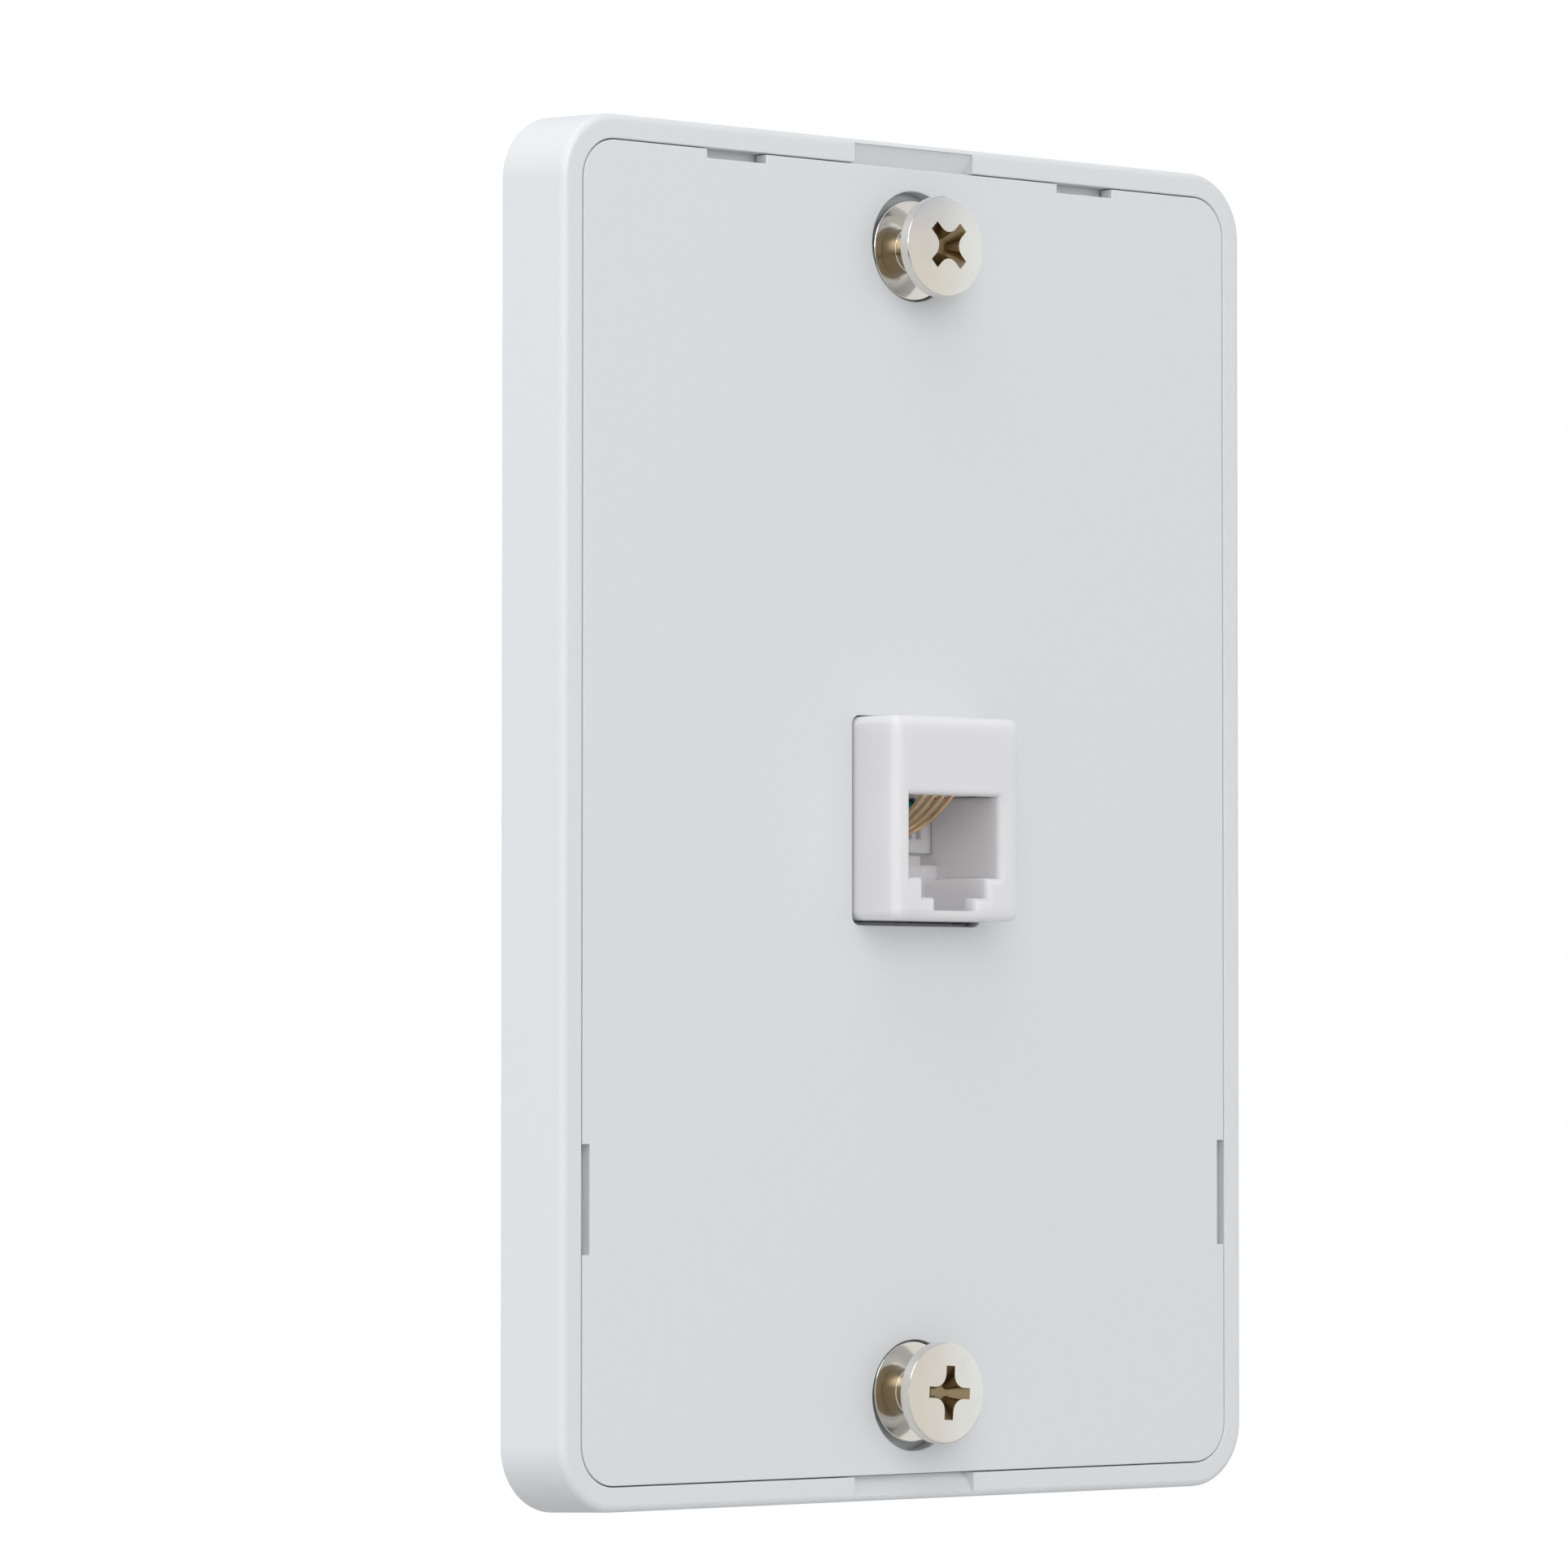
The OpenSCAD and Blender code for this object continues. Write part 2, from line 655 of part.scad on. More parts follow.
// Free part of a contact wire: it flattens out towards its tip
function spring_curve(x) =
    let (y0 = nose_y + bend_r * cos(180 + bend_exit),
         z0 = nose_z + bend_r * sin(180 + bend_exit),
         slope = -1 / tan(bend_exit), run = tip_y - y0, count = 8)
    [for (k = [1:count])
        let (u = run * k / count)
        [x, y0 + u, z0 + slope * u - slope / (2 * run) * u * u]];

function wire_route(i) =
    let (x0 = wire_x(i), x1 = splice_x(i), z0 = nose_z + bend_r)
    [[x1, splice_front, splice_z], [x1, splice_front - 0.8, splice_z],
     [x0 + (x1 - x0) * 0.8, splice_front - 1.6, (splice_z + z0) / 2],
     [x0, nose_y + 2.8, z0], [x0, nose_y + 1.4, z0]];

module contact_wire(i) {
    color(gold) tube(concat(spline(wire_route(i), 3), nose_bend(wire_x(i), 90, 180, 15)), wire_d);
}

module contact_spring(i) {
    color(gold)
        tube(concat(nose_bend(wire_x(i), 180, 180 + bend_exit, 10), spring_curve(wire_x(i))),
             wire_d);
}

module crimp_splices() {
    color(nickel)
        for (i = [0:3])
            peg(splice_x(i), splice_z, splice_front, splice_back, splice_d);
}

// Where a lead meets its fork lug
function lug_end(i) =
    [term_signs[i][0] * (term_x - barrel_end), barrel_y, term_signs[i][1] * term_z];

module lead(i) {
    start = [splice_x(i), splice_back, splice_z];
    end = lug_end(i);
    inward = [term_signs[i][0], 0, 0];
    route = concat(
        [start, start + [0, 1, 0], start + [0, 2.6, 0]], routes[i], [end - inward, end]);
    color(lead_colours[i]) tube(spline(route, 3), lead_d);
}

// -------------------------------------------------------------- terminals

module fork_lug(i) {
    s = term_signs[i];
    color(nickel)
        translate([s[0] * term_x, 0, s[1] * term_z])
            mirror([s[0] > 0 ? 1 : 0, 0, 0]) {
                along_y(y_lug, y_washer) difference() {
                    union() {
                        circle(d = lug_ring_d);
                        translate([0, -barrel_d / 2]) square([barrel_start + 0.6, barrel_d]);
                    }
                    circle(d = lug_slot);
                    translate([-lug_ring_d, -lug_slot / 2]) square([lug_ring_d, lug_slot]);
                }
                translate([barrel_start, barrel_y, 0]) rotate([0, 90, 0])
                    cylinder(h = barrel_end - barrel_start, d = barrel_d);
            }
}

module terminal_inserts() {
    color(brass)
        for (s = term_signs)
            difference() {
                peg(s[0] * term_x, s[1] * term_z, insert_bottom, post_back, insert_d);
                peg(s[0] * term_x, s[1] * term_z, insert_bottom - cut, post_back + cut,
                    term_thread_d + 2 * thread_gap);
            }
}

module terminal_washer(i) {
    color(nickel)
        translate([term_signs[i][0] * term_x, 0, term_signs[i][1] * term_z])
            along_y(y_washer, y_term_head) difference() {
                rounded_rect(washer_w, washer_w, 0.5);
                circle(d = term_thread_d + 2 * thread_gap);
            }
}

// Threaded bar along +Z, from 0 down to -length, drawn as rings of thread
module thread(d, pitch, length) {
    turns = floor((length - 0.6) / pitch);
    depth = 0.6 * pitch;
    rotate_extrude()
        polygon(concat(
            [[0, 0], [d / 2 - depth / 2, 0]],
            [for (k = [0:turns - 1]) each [
                [d / 2 - depth / 2, -k * pitch - 0.1], [d / 2, -k * pitch - pitch / 2],
                [d / 2, -k * pitch - pitch / 2 - 0.1]]],
            [[d / 2 - depth / 2, -turns * pitch - 0.1], [d / 2 - depth / 2, -length + 0.3],
             [d / 2 - depth / 2 - 0.3, -length], [0, -length]]));
}

// Cross recess cut down from z = 0
module cross_recess(across, wing, depth) {
    for (a = [0, 90])
        rotate([90, 0, a]) translate([0, 0, -wing / 2]) linear_extrude(wing)
            polygon([
                [-across / 2, cut], [-across / 2, 0], [-across / 5, -depth],
                [across / 5, -depth], [across / 2, 0], [across / 2, cut]
            ]);
    translate([0, 0, -depth]) cylinder(h = depth + cut, r1 = across / 5, r2 = across / 3.6);
}

// Terminal screw with a domed head and a cross recess that runs out into a slot
module terminal_screw(i) {
    s = term_signs[i];
    edge_h = 0.6;
    color(brass)
        translate([s[0] * term_x, y_term_head, s[1] * term_z]) rotate([-90, 20 + 50 * i, 0]) {
            difference() {
                rotate_extrude()
                    polygon([
                        [0, 0], [term_head_d / 2, 0], [term_head_d / 2, edge_h],
                        [term_head_d / 2 - 0.2, edge_h + 0.4],
                        [term_head_d / 2 - 0.7, term_head_h - 0.3],
                        [term_head_d / 2 - 1.4, term_head_h], [0, term_head_h]
                    ]);
                translate([0, 0, term_head_h]) cross_recess(3.6, 0.9, 1.3);
                translate([-term_head_d, -0.5, term_head_h - 0.9])
                    cube([2 * term_head_d, 1, 2]);
            }
            thread(term_thread_d, term_thread_pitch, y_term_head - term_tip);
        }
}

// ------------------------------------------------------------------ studs

// Stud screw: flat thin head with a cross recess, turned by an angle
module stud_screw(z, turn) {
    lip = 0.25;
    color(nickel)
        translate([0, y_head_front, z]) rotate([90, turn, 0]) {
            difference() {
                union() {
                    rotate_extrude()
                        polygon([
                            [0, 0], [stud_head_d / 2 - lip, 0], [stud_head_d / 2, -lip],
                            [stud_head_d / 2, -stud_head_t + lip],
                            [stud_head_d / 2 - lip, -stud_head_t],
                            [shoulder_d / 2, -stud_head_t],
                            [shoulder_d / 2, -stud_head_t - neck_end_gap],
                            [0, -stud_head_t - neck_end_gap]
                        ]);
                    translate([0, 0, -stud_head_t - neck_end_gap + 0.05])
                        thread(stud_thread_d, stud_thread_pitch,
                               stud_tip - y_head_back - neck_end_gap + 0.05);
                }
                cross_recess(4.6, 0.95, 1.3);
            }
        }
}

// Flanged spacer between the screw head and the boss, with a fillet at the neck
module stud_spacer(z) {
    neck = neck_d / 2;
    top = y_flange_back - y_head_back - neck_end_gap;
    bend = neck + flange_fillet;
    bore = stud_thread_d / 2 + thread_gap;
    color(nickel)
        translate([0, y_flange_back, z]) rotate([90, 0, 0])
            rotate_extrude()
                polygon(concat(
                    [[bore, 0], [flange_d / 2 - 0.1, 0], [flange_d / 2, 0.1],
                     [flange_d / 2, flange_t - 0.1], [flange_d / 2 - 0.1, flange_t]],
                    [for (a = [270:-15:180])
                        [bend + flange_fillet * cos(a), flange_t + flange_fillet * (1 + sin(a))]],
                    [[neck, top - 0.1], [neck - 0.1, top], [bore, top]]));
}

module stud_nut(z) {
    half = stud_nut_t / 2;
    corner = stud_nut_af / cos(30) / 2;
    color(brass)
        translate([0, y_nut_back, z]) rotate([90, 0, 0]) difference() {
            intersection() {
                cylinder(h = stud_nut_t, r = corner, $fn = 6);
                rotate_extrude()
                    polygon([
                        [0, 0], [stud_nut_af / 2, 0], [corner + 0.05, 0.3],
                        [corner + 0.05, stud_nut_t - 0.3], [stud_nut_af / 2, stud_nut_t],
                        [0, stud_nut_t]
                    ]);
            }
            translate([0, 0, -cut])
                cylinder(h = stud_nut_t + 2 * cut, d = stud_thread_d + 2 * thread_gap);
        }
}

// --------------------------------------------------------------- drawing

base_frame();
front_panel();
panel_catches();
jack_housing();
contact_carrier();
contact_wire(0);  // contact_wire_black
contact_wire(1);  // contact_wire_red
contact_wire(2);  // contact_wire_green
contact_wire(3);  // contact_wire_yellow
contact_spring(0);  // contact_spring_black
contact_spring(1);  // contact_spring_red
contact_spring(2);  // contact_spring_green
contact_spring(3);  // contact_spring_yellow
crimp_splices();
lead(0);  // lead_black
lead(1);  // lead_red
lead(2);  // lead_green
lead(3);  // lead_yellow
fork_lug(0);  // fork_lug_black
fork_lug(1);  // fork_lug_red
fork_lug(2);  // fork_lug_green
fork_lug(3);  // fork_lug_yellow
terminal_inserts();
terminal_washer(0);  // terminal_washer_black
terminal_washer(1);  // terminal_washer_red
terminal_washer(2);  // terminal_washer_green
terminal_washer(3);  // terminal_washer_yellow
terminal_screw(0);  // terminal_screw_black
terminal_screw(1);  // terminal_screw_red
terminal_screw(2);  // terminal_screw_green
terminal_screw(3);  // terminal_screw_yellow
stud_screw(stud_z, 45);  // top_stud_screw
stud_screw(-stud_z, 3);  // bottom_stud_screw
stud_spacer(stud_z);  // top_stud_spacer
stud_spacer(-stud_z);  // bottom_stud_spacer
stud_nut(stud_z);  // top_stud_nut
stud_nut(-stud_z);  // bottom_stud_nut
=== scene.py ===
"""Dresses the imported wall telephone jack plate: moulded frame and panel, line jack, studs and wiring."""

import logging
import math
from collections.abc import Callable, Sequence
from dataclasses import dataclass
from enum import Enum

import bpy
from mathutils import Matrix, Vector


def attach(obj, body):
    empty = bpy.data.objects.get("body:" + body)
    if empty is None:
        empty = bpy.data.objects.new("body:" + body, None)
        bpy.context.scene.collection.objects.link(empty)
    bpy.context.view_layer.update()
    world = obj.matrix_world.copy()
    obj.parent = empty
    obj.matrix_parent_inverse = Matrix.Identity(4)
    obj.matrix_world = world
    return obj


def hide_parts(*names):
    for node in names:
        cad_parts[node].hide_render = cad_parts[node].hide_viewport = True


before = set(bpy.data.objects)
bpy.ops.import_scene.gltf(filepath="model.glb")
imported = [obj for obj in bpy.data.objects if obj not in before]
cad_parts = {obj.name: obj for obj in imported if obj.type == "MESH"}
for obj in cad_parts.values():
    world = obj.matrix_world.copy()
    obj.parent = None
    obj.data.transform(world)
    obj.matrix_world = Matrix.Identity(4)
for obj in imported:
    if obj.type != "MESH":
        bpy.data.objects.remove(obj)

LOG = logging.getLogger("plate")
MM = 0.001  # metres
ROOT_BODY = "base"
SIDES = (-1, 1)
SUNK = 0.1  # how far a welded form runs into what carries it
SLACK = 0.05  # for picking edges by their place
TERMINAL = (16.5, 13.0)  # from the middle to a terminal, in X and Z
Point = tuple[float, float, float]
Flat = tuple[float, float]
Outline = Sequence[Flat]
Object = bpy.types.Object
Material = bpy.types.Material
Node = bpy.types.Node
Socket = bpy.types.NodeSocket
EdgeTest = Callable[[Vector, Vector], bool]


class Lay(Enum):
    """The axis that an outline is thickened along."""

    X = 0
    Y = 1
    Z = 2

    def place(self, point: Flat, level: float) -> Point:
        """Puts a point of an outline at a level of the axis."""
        u, v = point
        return {Lay.X: (level, u, v), Lay.Y: (u, level, v), Lay.Z: (u, v, level)}[self]


class Circuit(Enum):
    """A line wire: its place among the contacts, and the corner that its terminal is in."""

    BLACK = (0, -1, 1)
    RED = (1, -1, -1)
    GREEN = (2, 1, -1)
    YELLOW = (3, 1, 1)

    @property
    def label(self) -> str:
        """The colour's name, as the nodes use it."""
        return self.name.lower()

    @property
    def side(self) -> int:
        """The side that its terminal is on, in X."""
        return self.value[1]

    @property
    def terminal(self) -> Flat:
        """Where its terminal lies in X and Z."""
        _, sx, sz = self.value
        return sx * TERMINAL[0], sz * TERMINAL[1]

    def across(self, pitch: float) -> float:
        """Where it lies across the jack, when the four are a pitch apart."""
        return (self.value[0] - 1.5) * pitch


# ---- modelling, in millimetres


def pick(*pieces: Object) -> None:
    """Leaves only these pieces selected, with the first one active."""
    bpy.ops.object.select_all(action="DESELECT")
    for piece in pieces:
        piece.select_set(True)
    bpy.context.view_layer.objects.active = pieces[0]


def edit(piece: Object, *steps: Callable[[], object]) -> None:
    """Runs edit-mode steps on one piece, on what its mesh holds as selected.

    Args:
        piece: the piece to change.
        steps: calls to run in order in edit mode.
    """
    pick(piece)
    bpy.ops.object.mode_set(mode="EDIT")
    for step in steps:
        step()
    bpy.ops.object.mode_set(mode="OBJECT")


def select_all() -> None:
    """Selects the whole mesh, in edit mode."""
    bpy.ops.mesh.select_all(action="SELECT")


def select_none() -> None:
    """Leaves nothing of the mesh selected, in edit mode."""
    bpy.ops.mesh.select_all(action="DESELECT")


def tidy(piece: Object) -> None:
    """Merges doubled points and turns all faces outwards.

    Args:
        piece: the piece to clean.
    """
    edit(
        piece,
        select_all,
        lambda: bpy.ops.mesh.remove_doubles(threshold=1e-4),
        lambda: bpy.ops.mesh.normals_make_consistent(inside=False),
    )


def block(corner: Point, far: Point) -> Object:
    """Makes a block between two opposite corners, in any order.

    Args:
        corner: one corner.
        far: the corner opposite.

    Returns:
        The block.
    """
    bpy.ops.object.select_all(action="DESELECT")
    bpy.ops.mesh.primitive_cube_add(size=1)
    piece = bpy.context.object
    piece.location = [(a + b) / 2 for a, b in zip(corner, far)]
    piece.scale = [abs(b - a) for a, b in zip(corner, far)]
    bpy.ops.object.transform_apply(location=True, rotation=True, scale=True)
    return piece


def ring_of_points(count: int) -> Object:
    """Makes a flat filled ring with a number of points, to be moved into an outline.

    Args:
        count: how many points.

    Returns:
        The ring, which is one face.
    """
    bpy.ops.object.select_all(action="DESELECT")
    bpy.ops.mesh.primitive_circle_add(vertices=count, radius=1, fill_type="NGON")
    return bpy.context.object


def loft(sections: Sequence[tuple[float, Outline]], lay: Lay) -> Object:
    """Makes a solid through a row of outlines.

    Args:
        sections: the level and the outline of each section, all with as many corners.
        lay: the axis that the levels lie along.

    Returns:
        The closed solid.
    """
    level, outline = sections[0]
    piece = ring_of_points(len(outline))
    for vertex, point in zip(piece.data.vertices, outline):
        vertex.co = lay.place(point, level)
    edit(piece, select_all)
    for end, far in sections[1:]:
        step = Vector(lay.place((0, 0), end - level))
        edit(piece, lambda: bpy.ops.mesh.extrude_region_move(TRANSFORM_OT_translate={"value": step}))
        for vertex in [v for v in piece.data.vertices if abs(v.co[lay.value] - end) < 1e-4]:
            flat = [c for i, c in enumerate(vertex.co) if i != lay.value]
            nearest = min(range(len(outline)), key=lambda i: math.dist(outline[i], flat))
            vertex.co = lay.place(far[nearest], end)
        level, outline = end, far
    tidy(piece)
    return piece


def prism(outline: Outline, lay: Lay, start: float, end: float, far: Outline | None = None) -> Object:
    """Thickens an outline, which may change its size on the way.

    Args:
        outline: the corners, in order.
        lay: the axis that it is thickened along.
        start: level of the outline.
        end: level of the far side.
        far: the outline at the far side, with as many corners, where it differs.

    Returns:
        The closed solid.
    """
    return loft([(start, outline), (end, far or outline)], lay)


def turned(profile: Outline, centre: Point, axis: Point = (0, -1, 0), steps: int = 64) -> Object:
    """Spins a closed profile round an axis, as on a lathe.

    Args:
        profile: points of radius and height, in order.
        centre: the point on the axis that heights are measured from.
        axis: the way that heights go.
        steps: number of faces round the axis.

    Returns:
        The closed solid.
    """
    piece = ring_of_points(len(profile))
    up = Vector(axis)
    out = Vector((1, 0, 0)) if abs(up.x) < 0.5 else Vector((0, 0, 1))
    for vertex, (radius, height) in zip(piece.data.vertices, profile):
        vertex.co = Vector(centre) + out * radius + up * height
    edit(
        piece,
        select_all,
        lambda: bpy.ops.mesh.delete(type="ONLY_FACE"),
        select_all,
        lambda: bpy.ops.mesh.spin(steps=steps, angle=math.tau, center=centre, axis=axis),
    )
    tidy(piece)
    return piece


def rod(middle: Flat, y0: float, y1: float, radius: float, steps: int = 48) -> Object:
    """Makes a round bar along Y, from y0 to y1."""
    return prism(disc(radius, steps, middle), Lay.Y, y0, y1)


def join(pieces: Sequence[Object]) -> Object:
    """Makes one piece of several that lie apart.

    Args:
        pieces: the pieces.

    Returns:
        The joined piece.
    """
    pick(*pieces)
    bpy.ops.object.join()
    return bpy.context.object


def combine(piece: Object, others: Sequence[Object], way: str) -> Object:
    """Joins other solids to a piece, cuts them from it, or keeps what they share, and removes them.

    Args:
        piece: the piece to change.
        others: the other solids.
        way: UNION, DIFFERENCE or INTERSECT.

    Returns:
        The piece.
    """
    for other in others:
        pick(piece)
        step = piece.modifiers.new("solid", "BOOLEAN")
        step.operation, step.solver, step.object = way, "EXACT", other
        bpy.ops.object.modifier_apply(modifier=step.name)
        bpy.data.objects.remove(other)
    return piece


def carve(piece: Object, *cutters: Object) -> Object:
    """Cuts solids out of a piece."""
    return combine(piece, cutters, "DIFFERENCE")


def weld(piece: Object, *others: Object) -> Object:
    """Joins solids to a piece."""
    return combine(piece, others, "UNION")


def round_edges(piece: Object, test: EdgeTest, width: float, segments: int = 3) -> None:
    """Rounds the chosen ones of the sharp edges of a piece.

    Args:
        piece: the piece to change.
        test: says of an edge, from its two ends, whether it is rounded.
        width: width of the rounding.
        segments: number of faces across it.
    """
    bpy.context.tool_settings.mesh_select_mode = (False, True, False)
    edit(piece, select_none, lambda: bpy.ops.mesh.edges_select_sharp(sharpness=math.radians(30)))
    mesh = piece.data
    kept = []
    for edge in mesh.edges:
        a, b = (mesh.vertices[i].co for i in edge.vertices)
        kept.append(bool(edge.select and test(a, b)))
    for part in (mesh.vertices, mesh.polygons):
        part.foreach_set("select", [False] * len(part))
    mesh.edges.foreach_set("select", kept)
    settings = {"profile": 0.5, "affect": "EDGES", "clamp_overlap": True}
    edit(piece, lambda: bpy.ops.mesh.bevel(offset=width, segments=segments, **settings))


def sink_face(piece: Object, level: float, inset: float, depth: float) -> None:
    """Insets the flat face at a level of Y and pushes it along Y.

    Args:
        piece: the piece to change.
        level: where the face lies on Y.
        inset: width of the rim that stays.
        depth: how far the face moves along +Y.
    """
    bpy.context.tool_settings.mesh_select_mode = (False, False, True)
    edit(piece, select_none)
    for face in piece.data.polygons:
        face.select = abs(face.center.y - level) < 1e-3 and abs(face.normal.y) > 0.99
    edit(
        piece,
        lambda: bpy.ops.mesh.inset(thickness=inset, depth=0),
        lambda: bpy.ops.mesh.extrude_region_move(TRANSFORM_OT_translate={"value": (0, depth, 0)}),
    )


def ease(piece: Object, width: float = 0.08, segments: int = 2, angle: float = 32) -> None:
    """Takes the sharpness off every remaining hard edge of a moulded or machined piece.

    Args:
        piece: the piece to ease.
        width: how far the edge is taken back.
        segments: how many strips round it.
        angle: the least angle that counts as hard, in degrees.
    """
    pick(piece)
    step = piece.modifiers.new("ease", "BEVEL")
    step.width, step.segments, step.limit_method = width, segments, "ANGLE"
    step.angle_limit = math.radians(angle)
    step.miter_outer = "MITER_ARC"
    bpy.ops.object.modifier_apply(modifier=step.name)


def smooth(piece: Object, angle: float = 50) -> None:
    """Shades a piece smooth up to an angle, with its large faces kept flat.

    Args:
        piece: the piece to shade.
        angle: past this angle in degrees an edge stays sharp.
    """
    pick(piece)
    bpy.ops.object.shade_smooth_by_angle(angle=math.radians(angle))
    step = piece.modifiers.new("flat_faces", "WEIGHTED_NORMAL")
    step.keep_sharp = True
    bpy.ops.object.modifier_apply(modifier=step.name)


def mark_painted_shade(piece: Object, test: Callable[[Vector], bool]) -> None:
    """Marks the faces that the metal finishes paint with shade, darker and duller: deep recesses and necks.

    Args:
        piece: the piece, still in millimetres.
        test: says of a face's centre whether it is marked.
    """
    mesh = piece.data
    layer = mesh.attributes.new("painted_shade", "FLOAT", "FACE")
    layer.data.foreach_set("value", [float(test(face.center)) for face in mesh.polygons])


def drawn_tube(path: Sequence[Point], diameter: float, round_steps: int = 4) -> Object:
    """Draws a round wire along a path of close points, with closed ends.

    Args:
        path: the points of its middle line.
        diameter: how thick it is.
        round_steps: how finely its round is stepped.

    Returns:
        The wire.
    """
    bpy.ops.object.select_all(action="DESELECT")
    bpy.ops.curve.primitive_nurbs_path_add()
    piece = bpy.context.object
    piece.location = (0, 0, 0)
    curve = piece.data
    spline = curve.splines[0]
    spline.type = "POLY"
    spline.points.add(len(path) - len(spline.points))
    for point, place in zip(spline.points, path):
        point.co = (*place, 1)
    curve.bevel_depth, curve.bevel_resolution = diameter / 2, round_steps
    curve.use_fill_caps = True
    curve.twist_mode = "MINIMUM"
    bpy.ops.object.convert(target="MESH")
    piece = bpy.context.object
    tidy(piece)
    return piece


# ---- outlines


def disc(radius: float, steps: int = 48, centre: Flat = (0, 0)) -> list[Flat]:
    """A circle as a list of points."""
    turns = [math.tau * k / steps for k in range(steps)]
    return [(centre[0] + radius * math.cos(t), centre[1] + radius * math.sin(t)) for t in turns]


def arc(centre: Flat, radius: float, start: float, end: float, steps: int = 6) -> list[Flat]:
    """An arc between two angles in degrees."""
    turns = [math.radians(start + (end - start) * k / steps) for k in range(steps + 1)]
    return [(centre[0] + radius * math.cos(t), centre[1] + radius * math.sin(t)) for t in turns]


def rounded_box(size: Flat, radius: float, middle: Flat = (0, 0), steps: int = 6) -> list[Flat]:
    """A rectangle with round corners.

    Args:
        size: its width and height.
        radius: the radius of its corners.
        middle: where its middle is.
        steps: how many steps each corner has.

    Returns:
        The outline's points, anticlockwise.
    """
    u, v = size[0] / 2 - radius, size[1] / 2 - radius
    corners = ((u, v, 0), (-u, v, 90), (-u, -v, 180), (u, -v, 270))
    return [
        point
        for a, b, turn in corners
        for point in arc((middle[0] + a, middle[1] + b), radius, turn, turn + 90, steps)
    ]


def hexagon(across_flats: float, middle: Flat) -> list[Flat]:
    """A hexagon with two of its flats level."""
    return disc(across_flats / 2 / math.cos(math.pi / 6), 6, middle)


def cross(reach: float, wing: float, fillet: float, turn: float, middle: Flat) -> list[Flat]:
    """The outline of a cross recess with filleted inner corners.

    Args:
        reach: from the middle to the end of a wing.
        wing: width of a wing.
        fillet: radius between two wings.
        turn: how far the cross is turned, in degrees.
        middle: where it is centred.

    Returns:
        The corners, in order.
    """
    half = wing / 2
    quarter = [(reach, -half), (reach, half), *arc((half + fillet, half + fillet), fillet, 270, 180, 5)]
    points = []
    for k in range(4):
        spin = Matrix.Rotation(math.radians(90 * k + turn), 2)
        points += [tuple(spin @ Vector(p) + Vector(middle)) for p in quarter]
    return points


@dataclass(frozen=True)
class CrossRecess:
    """A tapered cross recess: the reach, wing and fillet of its mouth and of its foot."""

    mouth: Point
    foot: Point

    def cutter(self, turn: float, middle: Flat, start: float, end: float) -> Object:
        """Makes the cutter, with its mouth at one level of Y and its foot at another."""
        wide, slim = cross(*self.mouth, turn, middle), cross(*self.foot, turn, middle)
        return prism(wide, Lay.Y, start, end, slim)


def thread_profile(diameter: float, pitch: float, length: float) -> list[Flat]:
    """The closed profile of a threaded bar that starts at height 0, with rings for its thread.

    Args:
        diameter: across the crests of the thread.
        pitch: from one ring to the next.
        length: from height 0 to the end of the bar.

    Returns:
        The profile's points, each a radius and a height.
    """
    crest = diameter / 2
    root, flat, tip = crest - 0.3 * pitch, 0.1, 0.3
    points = [(0, -tip), (root, -tip), (root, 0)]
    for k in range(int((length - 2 * tip) / pitch)):
        points += [(root, k * pitch + flat), (crest, (k + 0.5) * pitch), (crest, (k + 0.5) * pitch + flat)]
    return points + [(root, length - tip), (root - tip, length), (0, length)]


def flowing(points: Sequence[Point], steps: int = 6) -> list[Point]:
    """A smooth curve through a list of points.

    Args:
        points: the points that it passes through.
        steps: how many steps from one to the next.

    Returns:
        The curve's points.
    """
    spots = [Vector(p) for p in points]
    path = []
    for i in range(len(spots) - 1):
        a, b, c, d = (spots[min(max(i + k, 0), len(spots) - 1)] for k in (-1, 0, 1, 2))
        for s in range(steps):
            t = s / steps
            bend = (2 * a - 5 * b + 4 * c - d) * t * t + (3 * b - a - 3 * c + d) * t ** 3
            path.append(tuple(0.5 * (2 * b + (c - a) * t + bend)))
    return [*path, tuple(spots[-1])]


# ---- finishes


def linear(colour: str) -> tuple[float, float, float, float]:
    """Turns an sRGB hex colour into the linear colour that a node takes."""
    parts = [int(colour[i : i + 2], 16) / 255 for i in (1, 3, 5)]
    return (*(c / 12.92 if c <= 0.04045 else ((c + 0.055) / 1.055) ** 2.4 for c in parts), 1.0)


